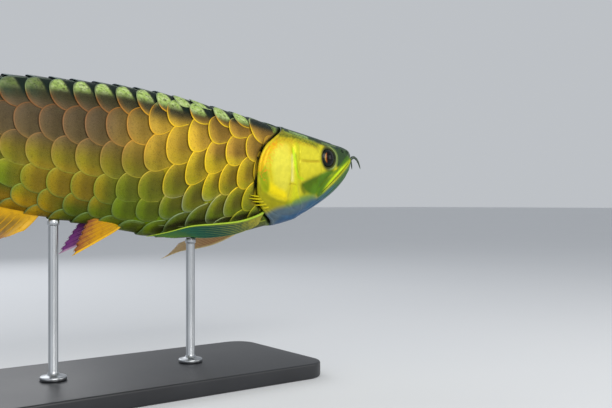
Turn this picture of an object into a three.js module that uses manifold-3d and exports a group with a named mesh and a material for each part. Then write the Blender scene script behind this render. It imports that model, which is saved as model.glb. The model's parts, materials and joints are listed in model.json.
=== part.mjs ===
// Asian arowana, life size, swimming level above a plain display stand.
// Millimetres, +Z up. X runs along the fish with the head towards +X, and +Y is the fish's left side.
// The origin is the middle of the underside of the stand's base.
import * as THREE from "three";
import { mergeVertices } from "three/addons/utils/BufferGeometryUtils.js";
import Module from "manifold-3d";

const wasm = await Module();
wasm.setup();

// Driving dimensions
const TAIL_END = 500.5; // where the scaled body ends and the tail fin begins
const TAIL_FROM = 328; // where the rear body is parted from the trunk
const CHIN_X = 250; // the chin tip's place along X
const DATUM_Z = 160; // the level that all fish heights are counted from
const GAP = 0.3; // between pieces that touch
const SCALE_RELIEF = 1.2; // how far a scale's rear edge stands over the next scale
const SCALE_SUNK = 0.5; // how far a scale's front edge lies under the body's mean surface
const BEND_START = 300; // the tail swings sideways behind this distance from the chin
const BEND_RATE = 0.00031;

const EYE = { back: 43, up: 46.6, radius: 9.8, halfDepth: 5.6, sunk: 3.4 };
const NOSTRILS = [[11.5, 54], [20, 54.5]];
const PLATE = { low: 0.6, high: 1.1, top: 1.7 }; // how far the bony plates stand off the head
const GILL_THICKNESS = 4.5;
const STAND = {
  length: 330, width: 150, thickness: 14, corner: 22, bevel: 2, rodRadius: 4, rodBacks: [190, 318],
};

// Profiles are [distance behind the chin tip, value] pairs, joined by smooth monotone curves.
const BACK_LINE = [
  [0, 46], [0.6, 50], [1.8, 54], [4.5, 57.3], [30, 62.8], [64, 69.8], [104, 78.2], [147, 87],
  [188, 94.7], [231, 101], [275, 104], [326, 104.8], [361, 103.4], [400, 95], [438, 83], [470, 77],
  [505, 76.5],
];
const BELLY_LINE = [
  [0, 46], [0.8, 40.5], [4, 33], [14, 21], [32, 7], [61, -8.7], [78, -16], [104, -21.8], [140, -26.5],
  [188, -31], [231, -28.7], [265, -21], [326, -11], [361, -1.5], [400, 15], [446, 32], [470, 35.5],
  [505, 35.5],
];
const HALF_WIDTH = [
  [0, 0.4], [1.5, 5.5], [5, 9.3], [14, 13.4], [30, 17.6], [50, 21], [80, 25], [120, 28.2], [180, 30],
  [240, 29], [326, 23.5], [400, 15], [450, 9.6], [480, 7.4], [505, 6.2],
];
const UPPER_POWER = [[0, 2.2], [20, 2.9], [60, 3.2], [110, 2.7], [170, 2.35], [300, 2.15], [505, 2.1]];
const LOWER_POWER = [[0, 2], [40, 2], [100, 1.9], [180, 1.7], [330, 1.65], [420, 1.8], [505, 2.1]];
const WIDEST_SHARE = [[0, 0.45], [60, 0.4], [120, 0.42], [200, 0.45], [505, 0.5]];

// The scales: rows round the girth, with every second row set back by half a scale
const GIRTH_ROWS = 12;
const COLUMNS = 22;
// Each row's place, as a share of the way from the back's midline down to the belly's.
const ROW_SHARE = [[0, 0], [1, 0.175], [2, 0.36], [3, 0.545], [4, 0.725], [5, 0.865], [6, 1]];
// Towards the head the rows climb by part of a row, those in the middle of the side the most.
const ROW_DRIFT = [[120, -0.5], [170, -0.4], [230, -0.15], [280, 0]];
const DRIFT_WEIGHT = [[0, 0], [1, 0.6], [2, 1], [4, 1], [5, 0.7], [6, 0]];
const COLUMN_BACK = [[-1, 83], [0, 100], [5, 188], [13, 350], [17, 428], [21, 498], [23, 532]];

// Side outlines of the head's parts, as [back, up] points
const GILL_LINE = [
  [90, 100], [95, 82], [101, 72], [112, 64.5], [124, 56], [131.5, 44], [134.3, 32], [133.4, 15],
  [128, 0], [118, -10], [108, -17], [101, -26], [98, -50],
];
const GILL_COVER = [
  [91, 56], [98, 64], [106, 67], [120, 66], [140, 50], [142, 10], [130, -8], [112, -13], [100, -9],
  [94, 2], [91.5, 20], [90.5, 40],
];
const OPERCLE = [
  [94, 54], [101, 61], [112, 59], [123, 49], [127.5, 32], [125, 17], [113, 9.5], [99, 5], [95.5, 14],
  [94, 35],
];
const PREOPERCLE = [
  [83.5, 58], [88.5, 59], [89, 40], [90, 20], [91, 4], [84, -4], [73, -5], [78, 4], [83.5, 16],
  [85, 38],
];
const CHEEK = [
  [55, 33], [57.5, 46], [62, 58], [70, 60.5], [82, 60.5], [83.4, 45], [83, 32], [81.5, 22], [70, 23.5],
  [60, 28],
];
const MAXILLA = [
  [9, 49], [14, 49.5], [28, 38], [44, 24.5], [54, 14.5], [55.5, 9], [51, 8.5], [38, 21], [22, 34.5],
  [10, 44],
];
const LOWER_LIP = [
  [0, 49], [6, 45], [20, 33.8], [36, 20.6], [50, 9.4], [53, 5.5], [48, 4.5], [32, 16], [16, 28],
  [0, 40],
];
const JAW_CUT = [
  [-6, 56], [4, 48.6], [12, 42.2], [30, 27.4], [51.5, 10.5], [60, 6], [67, -2], [70, -12], [71, -40],
];

// Turns [back, value] pairs into a smooth curve that keeps each rise and fall (monotone cubic).
function curveThrough(pairs) {
  const n = pairs.length;
  const step = pairs.slice(1).map((p, i) => (p[1] - pairs[i][1]) / (p[0] - pairs[i][0]));
  const slope = pairs.map((_, i) => {
    if (i === 0) return step[0];
    if (i === n - 1) return step[n - 2];
    return step[i - 1] * step[i] <= 0 ? 0 : (2 * step[i - 1] * step[i]) / (step[i - 1] + step[i]);
  });
  return (at) => {
    const x = Math.min(Math.max(at, pairs[0][0]), pairs[n - 1][0]);
    let i = 0;
    while (i < n - 2 && x > pairs[i + 1][0]) i++;
    const width = pairs[i + 1][0] - pairs[i][0];
    const t = (x - pairs[i][0]) / width;
    const rise = t * t * (3 - 2 * t);
    const start = t * (1 - t) * (1 - t) * width;
    const end = t * t * (t - 1) * width;
    return pairs[i][1] + (pairs[i + 1][1] - pairs[i][1]) * rise + slope[i] * start + slope[i + 1] * end;
  };
}

const backLine = curveThrough(BACK_LINE);
const bellyLine = curveThrough(BELLY_LINE);
const halfWidth = curveThrough(HALF_WIDTH);
const upperPower = curveThrough(UPPER_POWER);
const lowerPower = curveThrough(LOWER_POWER);
const widestShare = curveThrough(WIDEST_SHARE);
const columnBack = curveThrough(COLUMN_BACK);
const rowShare = curveThrough(ROW_SHARE);
const rowDrift = curveThrough(ROW_DRIFT);
const driftWeight = curveThrough(DRIFT_WEIGHT);

// A point from its distance behind the chin, its sideways place (left is +) and its height over the datum.
const place = (back, side, up) => new THREE.Vector3(CHIN_X - back, side, DATUM_Z + up);

// Half a cross-section from the back's midline down to the belly's, as [side, up, share of its length].
const SECTION_STEPS = 48;
const sections = new Map();
function halfSection(back) {
  const key = back.toFixed(4);
  if (sections.has(key)) return sections.get(key);
  const top = backLine(back);
  const bottom = bellyLine(back);
  const wide = halfWidth(back);
  const middle = top - (top - bottom) * widestShare(back);
  const points = [];
  for (let i = 0; i <= SECTION_STEPS; i++) {
    const turn = (Math.PI * i) / SECTION_STEPS;
    const upper = turn <= Math.PI / 2;
    const power = 2 / (upper ? upperPower(back) : lowerPower(back));
    const onMidline = i === 0 || i === SECTION_STEPS;
    const side = onMidline ? 0 : wide * Math.pow(Math.abs(Math.sin(turn)), power);
    const reach = Math.pow(Math.abs(Math.cos(turn)), power);
    points.push([side, upper ? middle + (top - middle) * reach : middle - (middle - bottom) * reach, 0]);
  }
  for (let i = 1; i < points.length; i++) {
    const [before, point] = [points[i - 1], points[i]];
    point[2] = before[2] + Math.hypot(point[0] - before[0], point[1] - before[1]);
  }
  const whole = Math.max(points[points.length - 1][2], 1e-6);
  for (const p of points) p[2] /= whole;
  sections.set(key, points);
  return points;
}

// A point on the bare body.
// Girth runs from 0 at the back's midline down the left side and up the right, to 1 at the back again.
function bodyPoint(back, girth) {
  const round = girth - Math.floor(girth);
  const share = round <= 0.5 ? round * 2 : 2 - round * 2;
  const points = halfSection(back);
  let i = 1;
  while (i < points.length - 1 && points[i][2] < share) i++;
  const [a, b] = [points[i - 1], points[i]];
  const t = (share - a[2]) / Math.max(b[2] - a[2], 1e-9);
  const side = (a[0] + (b[0] - a[0]) * t) * (round <= 0.5 ? 1 : -1);
  return place(back, side, a[1] + (b[1] - a[1]) * t);
}

// The same point lifted off the body along its normal.
function skinPoint(back, girth, lift) {
  const p = bodyPoint(back, girth);
  if (lift === 0) return p;
  const reach = Math.min(2, Math.max(back, 0.4) * 0.5);
  const along = bodyPoint(back + reach, girth).sub(bodyPoint(back - reach, girth));
  const around = bodyPoint(back, girth + 0.01).sub(bodyPoint(back, girth - 0.01));
  const normal = around.cross(along).normalize();
  return p.addScaledVector(normal, lift);
}

// The half-width of the body at a given height on a given section.
function sideAt(back, up) {
  const points = halfSection(back);
  let i = 1;
  while (i < points.length - 1 && points[i][1] > up) i++;
  const [a, b] = [points[i - 1], points[i]];
  const t = Math.min(Math.max((up - a[1]) / (b[1] - a[1] || 1), 0), 1);
  return a[0] + (b[0] - a[0]) * t;
}

// Solids

function solidFromGeometry(geometry) {
  const bare = geometry.index ? geometry.toNonIndexed() : geometry.clone();
  for (const name of Object.keys(bare.attributes)) if (name !== "position") bare.deleteAttribute(name);
  const merged = mergeVertices(bare, 1e-4);
  const index = Array.from(merged.index.array);
  const kept = [];
  for (let i = 0; i < index.length; i += 3) {
    const [a, b, c] = index.slice(i, i + 3);
    if (a !== b && b !== c && c !== a) kept.push(a, b, c);
  }
  const build = (triangles) =>
    new wasm.Manifold(
      new wasm.Mesh({
        numProp: 3,
        vertProperties: merged.attributes.position.array,
        triVerts: Uint32Array.from(triangles),
      }),
    );
  const solid = build(kept);
  if (solid.volume() > 0) return solid;
  for (let i = 0; i < kept.length; i += 3) [kept[i + 1], kept[i + 2]] = [kept[i + 2], kept[i + 1]];
  return build(kept);
}

const solidFromTriangles = (points) => solidFromGeometry(new THREE.BufferGeometry().setFromPoints(points));

// Joins rings of points, all with the same count, into a tube closed by a point at each end.
function tubeSolid(rings, firstPole, lastPole) {
  const triangles = [];
  const count = rings[0].length;
  for (let k = 0; k < count; k++) {
    const next = (k + 1) % count;
    triangles.push(firstPole, rings[0][next], rings[0][k]);
    triangles.push(lastPole, rings[rings.length - 1][k], rings[rings.length - 1][next]);
    for (let j = 0; j + 1 < rings.length; j++) {
      triangles.push(rings[j][k], rings[j][next], rings[j + 1][k]);
      triangles.push(rings[j][next], rings[j + 1][next], rings[j + 1][k]);
    }
  }
  return solidFromTriangles(triangles);
}

// The largest closed surface of a solid, so that no loose scrap is left.
function largest(solid) {
  const parts = solid.decompose();
  return parts.reduce((best, part) => (part.volume() > best.volume() ? part : best));
}

function geometryOf(solid) {
  const mesh = solid.getMesh();
  const geometry = new THREE.BufferGeometry();
  const position = new Float32Array(mesh.numVert * 3);
  for (let i = 0; i < mesh.numVert; i++)
    for (let k = 0; k < 3; k++) position[i * 3 + k] = mesh.vertProperties[i * mesh.numProp + k];
  geometry.setAttribute("position", new THREE.BufferAttribute(position, 3));
  geometry.setIndex(Array.from(mesh.triVerts));
  return geometry;
}

// A side outline carried through the whole width of the fish.
const PRISM_HALF = 60;
function prism(outline) {
  const corners = outline.map(([back, up]) => new THREE.Vector2(CHIN_X - back, DATUM_Z + up));
  const shape = new THREE.Shape(corners);
  const geometry = new THREE.ExtrudeGeometry(shape, { depth: 2 * PRISM_HALF, bevelEnabled: false });
  geometry.rotateX(Math.PI / 2).translate(0, PRISM_HALF, 0);
  return solidFromGeometry(geometry);
}

const rounded = (outline, steps) =>
  new THREE.SplineCurve(outline.concat([outline[0]]).map(([x, y]) => new THREE.Vector2(x, y)))
    .getPoints(steps)
    .slice(0, -1)
    .map((p) => [p.x, p.y]);

const openCurve = (line, steps) =>
  new THREE.SplineCurve(line.map(([x, y]) => new THREE.Vector2(x, y)))
    .getPoints(steps)
    .map((p) => [p.x, p.y]);

// The same outline grown outwards from its middle by a small distance.
function grown(outline, by) {
  const count = outline.length;
  const middle = outline.reduce((sum, [x, y]) => [sum[0] + x / count, sum[1] + y / count], [0, 0]);
  return outline.map(([x, y]) => {
    const length = Math.hypot(x - middle[0], y - middle[1]);
    return [x + ((x - middle[0]) / length) * by, y + ((y - middle[1]) / length) * by];
  });
}

// A thin band that follows an open line, for parting two pieces.
function band(line, half) {
  const left = [];
  const right = [];
  line.forEach(([x, y], i) => {
    const before = line[Math.max(i - 1, 0)];
    const after = line[Math.min(i + 1, line.length - 1)];
    const [dx, dy] = [after[0] - before[0], after[1] - before[1]];
    const length = Math.hypot(dx, dy);
    left.push([x - (dy / length) * half, y + (dx / length) * half]);
    right.push([x + (dy / length) * half, y - (dx / length) * half]);
  });
  return left.concat(right.reverse());
}

// Body

const HEAD_STATIONS = [0.4, 1.2, 2.6, 5, 8.5, 13, 20, 28, 37, 46, 56, 67, 79, 92, 106, 122, 140];
const HEAD_RING = 24;

// The smooth front of the body as one closed solid, lifted evenly off the bare surface.
function headLoft(lift, stations = HEAD_STATIONS, ring = HEAD_RING) {
  const ringAt = (back) => Array.from({ length: ring }, (_, k) => skinPoint(back, k / ring, lift));
  const rings = stations.map(ringAt);
  const last = stations[stations.length - 1];
  return tubeSolid(rings, place(-Math.max(lift, -0.2), 0, BACK_LINE[0][1]), place(last + 2, 0, 30));
}

// The rounded space under the gill covers.
const gillChamber = (lift) => headLoft(lift, [70, 84, 98, 114, 140], 16);

// A closed surface from keyed points: open edges in front and behind are drawn together to a pole.
class Net {
  constructor() {
    this.points = [];
    this.ids = new Map();
    this.triangles = [];
  }

  id(key, point) {
    if (!this.ids.has(key)) {
      this.ids.set(key, this.points.length);
      this.points.push(point());
    }
    return this.ids.get(key);
  }

  add(...corners) {
    for (let i = 0; i < corners.length; i += 3) this.triangles.push(corners.slice(i, i + 3));
  }

  close(poles) {
    const edges = new Map();
    for (const [a, b, c] of this.triangles)
      for (const [from, to] of [[a, b], [b, c], [c, a]]) edges.set(from + ">" + to, [from, to]);
    const ends = poles.map((pole) => this.points.push(pole) - 1);
    const middle = poles[0].clone().add(poles[1]).multiplyScalar(0.5).x;
    for (const [from, to] of edges.values())
      if (!edges.has(to + ">" + from)) this.add(to, from, ends[this.points[from].x > middle ? 0 : 1]);
  }

  solid() {
    return solidFromTriangles(this.triangles.flatMap((t) => t.map((i) => this.points[i])));
  }
}

// Places on one scale, as [back, down, level]: the front edge is flush, and the rear edge stands proud.
const SWING = 0.08; // how far a scale's rear edge bows out, as a share of its length
const TOP = [-SWING, -2 / 3];
const TOP_REAR = [0.27 - SWING, -0.54];
const UPPER_REAR = [0.5 - SWING, -1 / 3];
const REAR = [0.5 + SWING, 0];
const LOWER_REAR = [0.5 - SWING, 1 / 3];
const BASE_REAR = [0.27 - SWING, 0.54];
const BASE = [-SWING, 2 / 3];
const BASE_FRONT = [-0.23 - SWING, 0.46];
const LOWER_FRONT = [-0.5 - SWING, 1 / 3];
const FRONT = [-0.5 + SWING, 0];
const UPPER_FRONT = [-0.5 - SWING, -1 / 3];
const TOP_FRONT = [-0.23 - SWING, -0.46];
const PROUD = 1;
const MOST = 0.78;
const HALF = 0.5;
const LITTLE = MOST - HALF;
const FLUSH = 0;
const SCALE_EDGE = [
  [TOP, HALF], [TOP_REAR, MOST], [UPPER_REAR, PROUD], [REAR, PROUD], [LOWER_REAR, PROUD],
  [BASE_REAR, MOST], [BASE, HALF], [BASE_FRONT, LITTLE], [LOWER_FRONT, FLUSH], [FRONT, FLUSH],
  [UPPER_FRONT, FLUSH], [TOP_FRONT, LITTLE],
];

// The girth place of a row of scales: rows 0 to 6 run down the left side, and 6 to 12 up the right.
function rowGirth(row, back) {
  const down = Math.min(row, GIRTH_ROWS - row);
  const share = rowShare(down + rowDrift(back) * driftWeight(down)) / 2;
  return row <= GIRTH_ROWS / 2 ? share : 1 - share;
}

// The scaled part of the body: a plate for every scale, and a step down from each plate to those behind it.
function scaledTrunk() {
  const net = new Net();
  for (let row = 0; row < GIRTH_ROWS; row++)
    for (let column = 0; column < COLUMNS; column++) {
      const at = ([back, down], level) => {
        const u = column + (row % 2) / 2 + back;
        const v = (row + down + GIRTH_ROWS) % GIRTH_ROWS;
        const key = [u, v, level].map((n) => n.toFixed(4)).join();
        const distance = columnBack(u);
        const lift = level * SCALE_RELIEF - SCALE_SUNK;
        return net.id(key, () => skinPoint(distance, rowGirth(v, distance), lift));
      };
      const centre = at([0.04, 0], 0.66);
      SCALE_EDGE.forEach(([spot, level], i) => {
        const [nextSpot, nextLevel] = SCALE_EDGE[(i + 1) % SCALE_EDGE.length];
        net.add(centre, at(nextSpot, nextLevel), at(spot, level));
      });
      if (column < COLUMNS - 1) {
        const [a1, a2, a3] = [at(UPPER_REAR, PROUD), at(REAR, PROUD), at(LOWER_REAR, PROUD)];
        const [b1, b3] = [at(UPPER_REAR, HALF), at(LOWER_REAR, HALF)];
        const [c1, c2, c3] = [at(UPPER_REAR, FLUSH), at(REAR, FLUSH), at(LOWER_REAR, FLUSH)];
        net.add(a1, a2, b1, a2, c2, b1, c2, c1, b1, a2, a3, b3, a2, b3, c2, b3, c3, c2);
      }
      if (column < COLUMNS - 1 || row % 2 === 0) {
        const upper = [at(TOP, HALF), at(TOP_REAR, MOST), at(UPPER_REAR, PROUD)];
        const under = [at(TOP, FLUSH), at(TOP_REAR, LITTLE), at(UPPER_REAR, HALF)];
        net.add(upper[0], upper[1], under[1], upper[0], under[1], under[0]);
        net.add(upper[1], upper[2], under[2], upper[1], under[2], under[1]);
        const above = [at(LOWER_REAR, PROUD), at(BASE_REAR, MOST), at(BASE, HALF)];
        const below = [at(LOWER_REAR, HALF), at(BASE_REAR, LITTLE), at(BASE, FLUSH)];
        net.add(above[0], above[1], below[0], above[1], below[1], below[0]);
        net.add(above[1], above[2], below[1], above[2], below[2], below[1]);
      }
    }
  net.close([place(60, 0, 35), place(545, 0, 56)]);
  return net.solid();
}

// Head

const onSide = (side, back, up, sunk = 0) => place(back, side * (sideAt(back, up) - sunk), up);

function eyeBall(side, grow) {
  const ball = new THREE.SphereGeometry(1, 14, 9);
  ball.rotateX(Math.PI / 2).scale(EYE.radius + grow, EYE.halfDepth + grow, EYE.radius + grow);
  const at = onSide(side, EYE.back, EYE.up, EYE.sunk);
  ball.translate(at.x, at.y, at.z);
  return solidFromGeometry(ball);
}

const circle = (back, up, radius, steps) =>
  Array.from({ length: steps }, (_, i) => [
    back + radius * Math.cos((2 * Math.PI * i) / steps),
    up + radius * Math.sin((2 * Math.PI * i) / steps),
  ]);

// A short round tube that crosses the snout's skin: the rim of a nostril, or the pit inside it.
function nostril([back, up], radius, out, deep) {
  const at = [1, -1].map((side) => {
    const pin = new THREE.CylinderGeometry(radius, radius, out + deep, 7);
    pin.translate(0, (out - deep) / 2, 0).rotateX((side * Math.PI) / 2);
    pin.rotateX(-side * 0.35);
    const p = onSide(side, back, up);
    pin.translate(p.x, p.y, p.z);
    return solidFromGeometry(pin);
  });
  return at[0].add(at[1]);
}

const gillCurve = openCurve(GILL_LINE, 22);
const jawCurve = openCurve(JAW_CUT, 16);
const gillMoved = (shift) => gillCurve.map(([back, up]) => [back + shift, up]);
const frontOf = (shift) => prism([[-30, 130], ...gillMoved(shift), [-30, -50]]);
const behind = (shift) => prism([[700, 130], [700, -50], ...gillMoved(shift).reverse()]);

// Everything in front of the gill openings, before it is parted.
function headPieces() {
  const front = frontOf(-GAP / 2);
  const core = headLoft(0.1);
  const low = headLoft(PLATE.low);
  const high = headLoft(PLATE.high);
  const raised = low
    .intersect(prism(rounded(CHEEK, 12)))
    .add(high.intersect(prism(rounded(PREOPERCLE, 14)).add(prism(rounded(MAXILLA, 14)))))
    .add(low.intersect(prism(circle(EYE.back, EYE.up, EYE.radius + 2.4, 14))))
    .add(high.intersect(prism(rounded(LOWER_LIP, 14))));
  const pits = NOSTRILS.map((n) => nostril(n, 1.15, 3, 1.6)).reduce((a, b) => a.add(b));
  const rims = NOSTRILS.map((n) => nostril(n, 2, 0.7, 2)).reduce((a, b) => a.add(b));
  const whole = core.add(raised).add(rims).subtract(pits).intersect(front);

  const coverOutline = rounded(GILL_COVER, 18);
  const inner = gillChamber(-GILL_THICKNESS);
  const pocket = prism(grown(coverOutline, GAP)).subtract(gillChamber(-GILL_THICKNESS - GAP));
  const cover = high.intersect(prism(coverOutline));
  const plate = headLoft(PLATE.top).intersect(prism(rounded(OPERCLE, 14)));
  const covers = cover.add(plate).subtract(inner).intersect(front);

  const sockets = eyeBall(1, GAP).add(eyeBall(-1, GAP));
  const jawRegion = prism([...jawCurve, [-30, -40], [-30, 56]]);
  const jawParting = prism(band(jawCurve, GAP / 2));
  const body = whole.subtract(pocket).subtract(sockets).subtract(jawParting);
  return {
    head: body.subtract(jawRegion),
    lowerJaw: body.intersect(jawRegion),
    coverLeft: covers.trimByPlane([0, 1, 0], 0),
    coverRight: covers.trimByPlane([0, -1, 0], 0),
  };
}

// Fins. A fin is a sheet of rays: each ray is a ridge, and the skin between two rays is thinner.
// rays(i, t) gives the ray's place, with i counted across the fin and t from 0 at the root to 1 at the tip.
function finSolid({ rayCount, steps, pathOf, normalOf, rayThickness, skinThickness }) {
  const columns = rayCount * 2 - 1;
  const front = [];
  const rear = [];
  for (let c = 0; c < columns; c++) {
    const ray = c / 2;
    const crest = c % 2 === 0;
    front.push([]);
    rear.push([]);
    for (let j = 0; j <= steps; j++) {
      const t = j / steps;
      const p = pathOf(ray, crest ? t : t * 0.97);
      const half = (crest ? rayThickness(t, ray) : skinThickness(t, ray)) / 2;
      const n = normalOf(ray, t);
      front[c].push(p.clone().addScaledVector(n, half));
      rear[c].push(p.clone().addScaledVector(n, -half));
    }
  }
  const triangles = [];
  const quad = (a, b, c, d) => triangles.push(a, b, c, a, c, d);
  for (let c = 0; c + 1 < columns; c++) {
    for (let j = 0; j < steps; j++) {
      quad(front[c][j], front[c + 1][j], front[c + 1][j + 1], front[c][j + 1]);
      triangles.push(rear[c][j], rear[c + 1][j + 1], rear[c + 1][j]);
      triangles.push(rear[c][j], rear[c][j + 1], rear[c + 1][j + 1]);
    }
    quad(front[c + 1][0], front[c][0], rear[c][0], rear[c + 1][0]);
    quad(front[c][steps], front[c + 1][steps], rear[c + 1][steps], rear[c][steps]);
  }
  for (let j = 0; j < steps; j++) {
    quad(front[0][j], front[0][j + 1], rear[0][j + 1], rear[0][j]);
    const end = columns - 1;
    quad(front[end][j + 1], front[end][j], rear[end][j], rear[end][j + 1]);
  }
  return solidFromTriangles(triangles);
}

const ROOT_DEPTH = 4; // how far a fin's root is sunk before the body cuts it

// The fins on the midline: each ray leaves the body's edge, leans back and curves a little further back.
const DORSAL = {
  from: 364, to: 443, rays: 14, edge: backLine, sign: 1, wave: 2.5,
  lengths: [[0, 15], [0.12, 33], [0.3, 47], [0.6, 51], [0.85, 51], [1, 46]],
  leans: [[0, 46], [1, 64]],
};
const ANAL = {
  from: 331, to: 451, rays: 17, edge: bellyLine, sign: -1, wave: -3,
  lengths: [[0, 17], [0.07, 30], [0.2, 44], [0.5, 49], [0.85, 49], [1, 44]],
  leans: [[0, 36], [0.5, 50], [1, 66]],
};

function midFin(fin) {
  const length = curveThrough(fin.lengths);
  const lean = curveThrough(fin.leans);
  const root = (ray) => {
    const share = ray / (fin.rays - 1);
    const back = fin.from + (fin.to - fin.from) * share;
    return { share, back, up: fin.edge(back) };
  };
  return finSolid({
    rayCount: fin.rays,
    steps: 4,
    pathOf: (ray, t) => {
      const { share, back, up } = root(ray);
      const angle = THREE.MathUtils.degToRad(lean(share) + 10 * t);
      const out = t * (length(share) + ROOT_DEPTH) - ROOT_DEPTH;
      const side = fin.wave * t * t * Math.sin(5 * share + 2 * t);
      return place(back + Math.sin(angle) * out, side, up + fin.sign * Math.cos(angle) * out);
    },
    normalOf: () => new THREE.Vector3(0, 1, 0),
    rayThickness: (t) => 3.4 * (1 - t) + 1.1 * t,
    skinThickness: (t) => 2.2 * (1 - t) ** 2 + 0.8,
  });
}

const CAUDAL = {
  back: 497, rays: 15, low: 38, high: 74, length: 90, cornerLength: 60, spread: 27, wave: 3,
};

function caudalFin() {
  return finSolid({
    rayCount: CAUDAL.rays,
    steps: 5,
    pathOf: (ray, t) => {
      const across = (2 * ray) / (CAUDAL.rays - 1) - 1;
      const root = CAUDAL.low + ((CAUDAL.high - CAUDAL.low) * (across + 1)) / 2;
      const angle = THREE.MathUtils.degToRad(CAUDAL.spread * across * (0.75 + 0.25 * t));
      const reach = t * (CAUDAL.length - (CAUDAL.length - CAUDAL.cornerLength) * Math.abs(across) ** 2.8);
      const side = CAUDAL.wave * t * t * Math.sin(2.4 * across + 1.5 * t);
      return place(CAUDAL.back + Math.cos(angle) * reach, side, root + Math.sin(angle) * reach);
    },
    normalOf: () => new THREE.Vector3(0, 1, 0),
    rayThickness: (t) => 11 * Math.max(0, 1 - 3.2 * t) ** 2 + 2.1 * (1 - t) + 0.9,
    skinThickness: (t) => 10 * Math.max(0, 1 - 3.2 * t) ** 2 + 0.9,
  });
}

// A paired fin follows a leading edge given as [back, side, up] points, and its blade hangs off that edge.
function pairedFin({ lead, chord, chordWidth, rays, steps, trailingShare, rootThickness }) {
  const through = (points) => new THREE.CatmullRomCurve3(points, false, "centripetal");
  const edge = through(lead.map((p) => new THREE.Vector3(...p)));
  const width = curveThrough(chordWidth);
  const chordCurve = through(chord.map((p) => new THREE.Vector3(...p).normalize()));
  const world = ({ x, y, z }) => place(x, y, z);
  const at = (ray, t) => {
    const share = ray / (rays - 1);
    const along = t * (1 - (1 - trailingShare) * share ** 1.3);
    const p = edge.getPoint(along);
    return p.addScaledVector(chordCurve.getPoint(along).normalize(), width(along) * share);
  };
  return finSolid({
    rayCount: rays,
    steps,
    pathOf: (ray, t) => world(at(ray, t)),
    normalOf: (ray, t) => {
      const near = Math.min(t, 0.9);
      const forward = world(edge.getPoint(near + 0.05)).sub(world(edge.getPoint(near)));
      const c = chordCurve.getPoint(near);
      const across = new THREE.Vector3(-c.x, c.y, c.z);
      return forward.cross(across).normalize();
    },
    rayThickness: (t, ray) => (ray < 0.5 ? 1.5 : 1) * (rootThickness * (1 - t) ** 1.5 + 1) * (1 - 0.25 * t),
    skinThickness: (t) => 0.55 * rootThickness * (1 - t) ** 2 + 0.7,
  });
}

const RIGHT_PECTORAL = {
  lead: [
    [116, -10, -6], [122, -17.5, -9], [147, -21, -16], [175, -21, -18.5], [200, -20, -20],
    [222, -17, -25], [240, -12, -28.5],
  ],
  chord: [[0.2, 0.35, -0.8], [0.15, 0.55, -0.9], [0.2, 0.6, -0.8]],
  chordWidth: [[0, 9], [0.2, 12], [0.5, 14.5], [0.8, 8], [1, 1.2]],
  rays: 7, steps: 8, trailingShare: 0.78, rootThickness: 2.6,
};
const LEFT_PECTORAL = {
  lead: [
    [116, 10, -6], [121, 17.5, -12], [123, 23, -26], [132, 35, -35], [142, 48, -41.4], [152, 60, -45],
    [162, 73, -48], [176, 88, -56],
  ],
  chord: [[0.5, -0.2, -0.7], [0.85, -0.1, 0.1], [0.85, -0.1, 0.45], [0.85, -0.1, 0.5]],
  chordWidth: [[0, 9], [0.2, 15], [0.5, 20], [0.8, 13], [1, 1.2]],
  rays: 7, steps: 8, trailingShare: 0.78, rootThickness: 2.6,
};
const pelvic = (side) => ({
  lead: [[258, side * 2, -17], [264, side * 6, -21.5], [285, side * 11, -32], [308, side * 16, -42.6]],
  chord: [[0.8, 0, 0.1], [0.3, -side * 0.15, 0.95], [0, -side * 0.25, 1]],
  chordWidth: [[0, 8], [0.3, 13], [0.7, 20], [1, 23]],
  rays: 6, steps: 5, trailingShare: 0.72, rootThickness: 2,
});

// Barbels: two tapered whiskers on the chin that arch forward and droop.
const BARBEL_LINE = [
  [4, 2.6, 44], [0, 3.2, 47.5], [-3, 4, 49.6], [-6.4, 5.2, 47.6], [-9, 6.2, 42.5], [-10.4, 7, 37],
];

function barbel(side) {
  const points = BARBEL_LINE.map(([back, out, up]) => place(back, side * out, up));
  const spine = new THREE.CatmullRomCurve3(points);
  const steps = 7;
  const rings = [];
  for (let j = 0; j <= steps; j++) {
    const t = j / steps;
    const centre = spine.getPoint(t);
    const along = spine.getTangent(t);
    const across = new THREE.Vector3(0, 1, 0).cross(along).normalize();
    const third = along.clone().cross(across).normalize();
    const radius = 1.7 * (1 - t) ** 0.8 + 0.35;
    rings.push(
      Array.from({ length: 6 }, (_, k) => {
        const turn = (2 * Math.PI * k) / 6;
        const [one, two] = [radius * Math.cos(turn), radius * Math.sin(turn)];
        return centre.clone().addScaledVector(across, one).addScaledVector(third, two);
      }),
    );
  }
  return tubeSolid(rings, spine.getPoint(0), spine.getPoint(1).addScaledVector(spine.getTangent(1), 0.4));
}

// Stand

function standBase() {
  const [hx, hy, r] = [STAND.length / 2 - STAND.bevel, STAND.width / 2 - STAND.bevel, STAND.corner];
  const shape = new THREE.Shape();
  shape.moveTo(-hx + r, -hy);
  shape.lineTo(hx - r, -hy).absarc(hx - r, -hy + r, r, -Math.PI / 2, 0);
  shape.lineTo(hx, hy - r).absarc(hx - r, hy - r, r, 0, Math.PI / 2);
  shape.lineTo(-hx + r, hy).absarc(-hx + r, hy - r, r, Math.PI / 2, Math.PI);
  shape.lineTo(-hx, -hy + r).absarc(-hx + r, -hy + r, r, Math.PI, 1.5 * Math.PI);
  const geometry = new THREE.ExtrudeGeometry(shape, {
    depth: STAND.thickness - 2 * STAND.bevel,
    bevelThickness: STAND.bevel,
    bevelSize: STAND.bevel,
    bevelSegments: 1,
    curveSegments: 5,
  });
  geometry.translate(0, 0, STAND.bevel);
  return solidFromGeometry(geometry);
}

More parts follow.
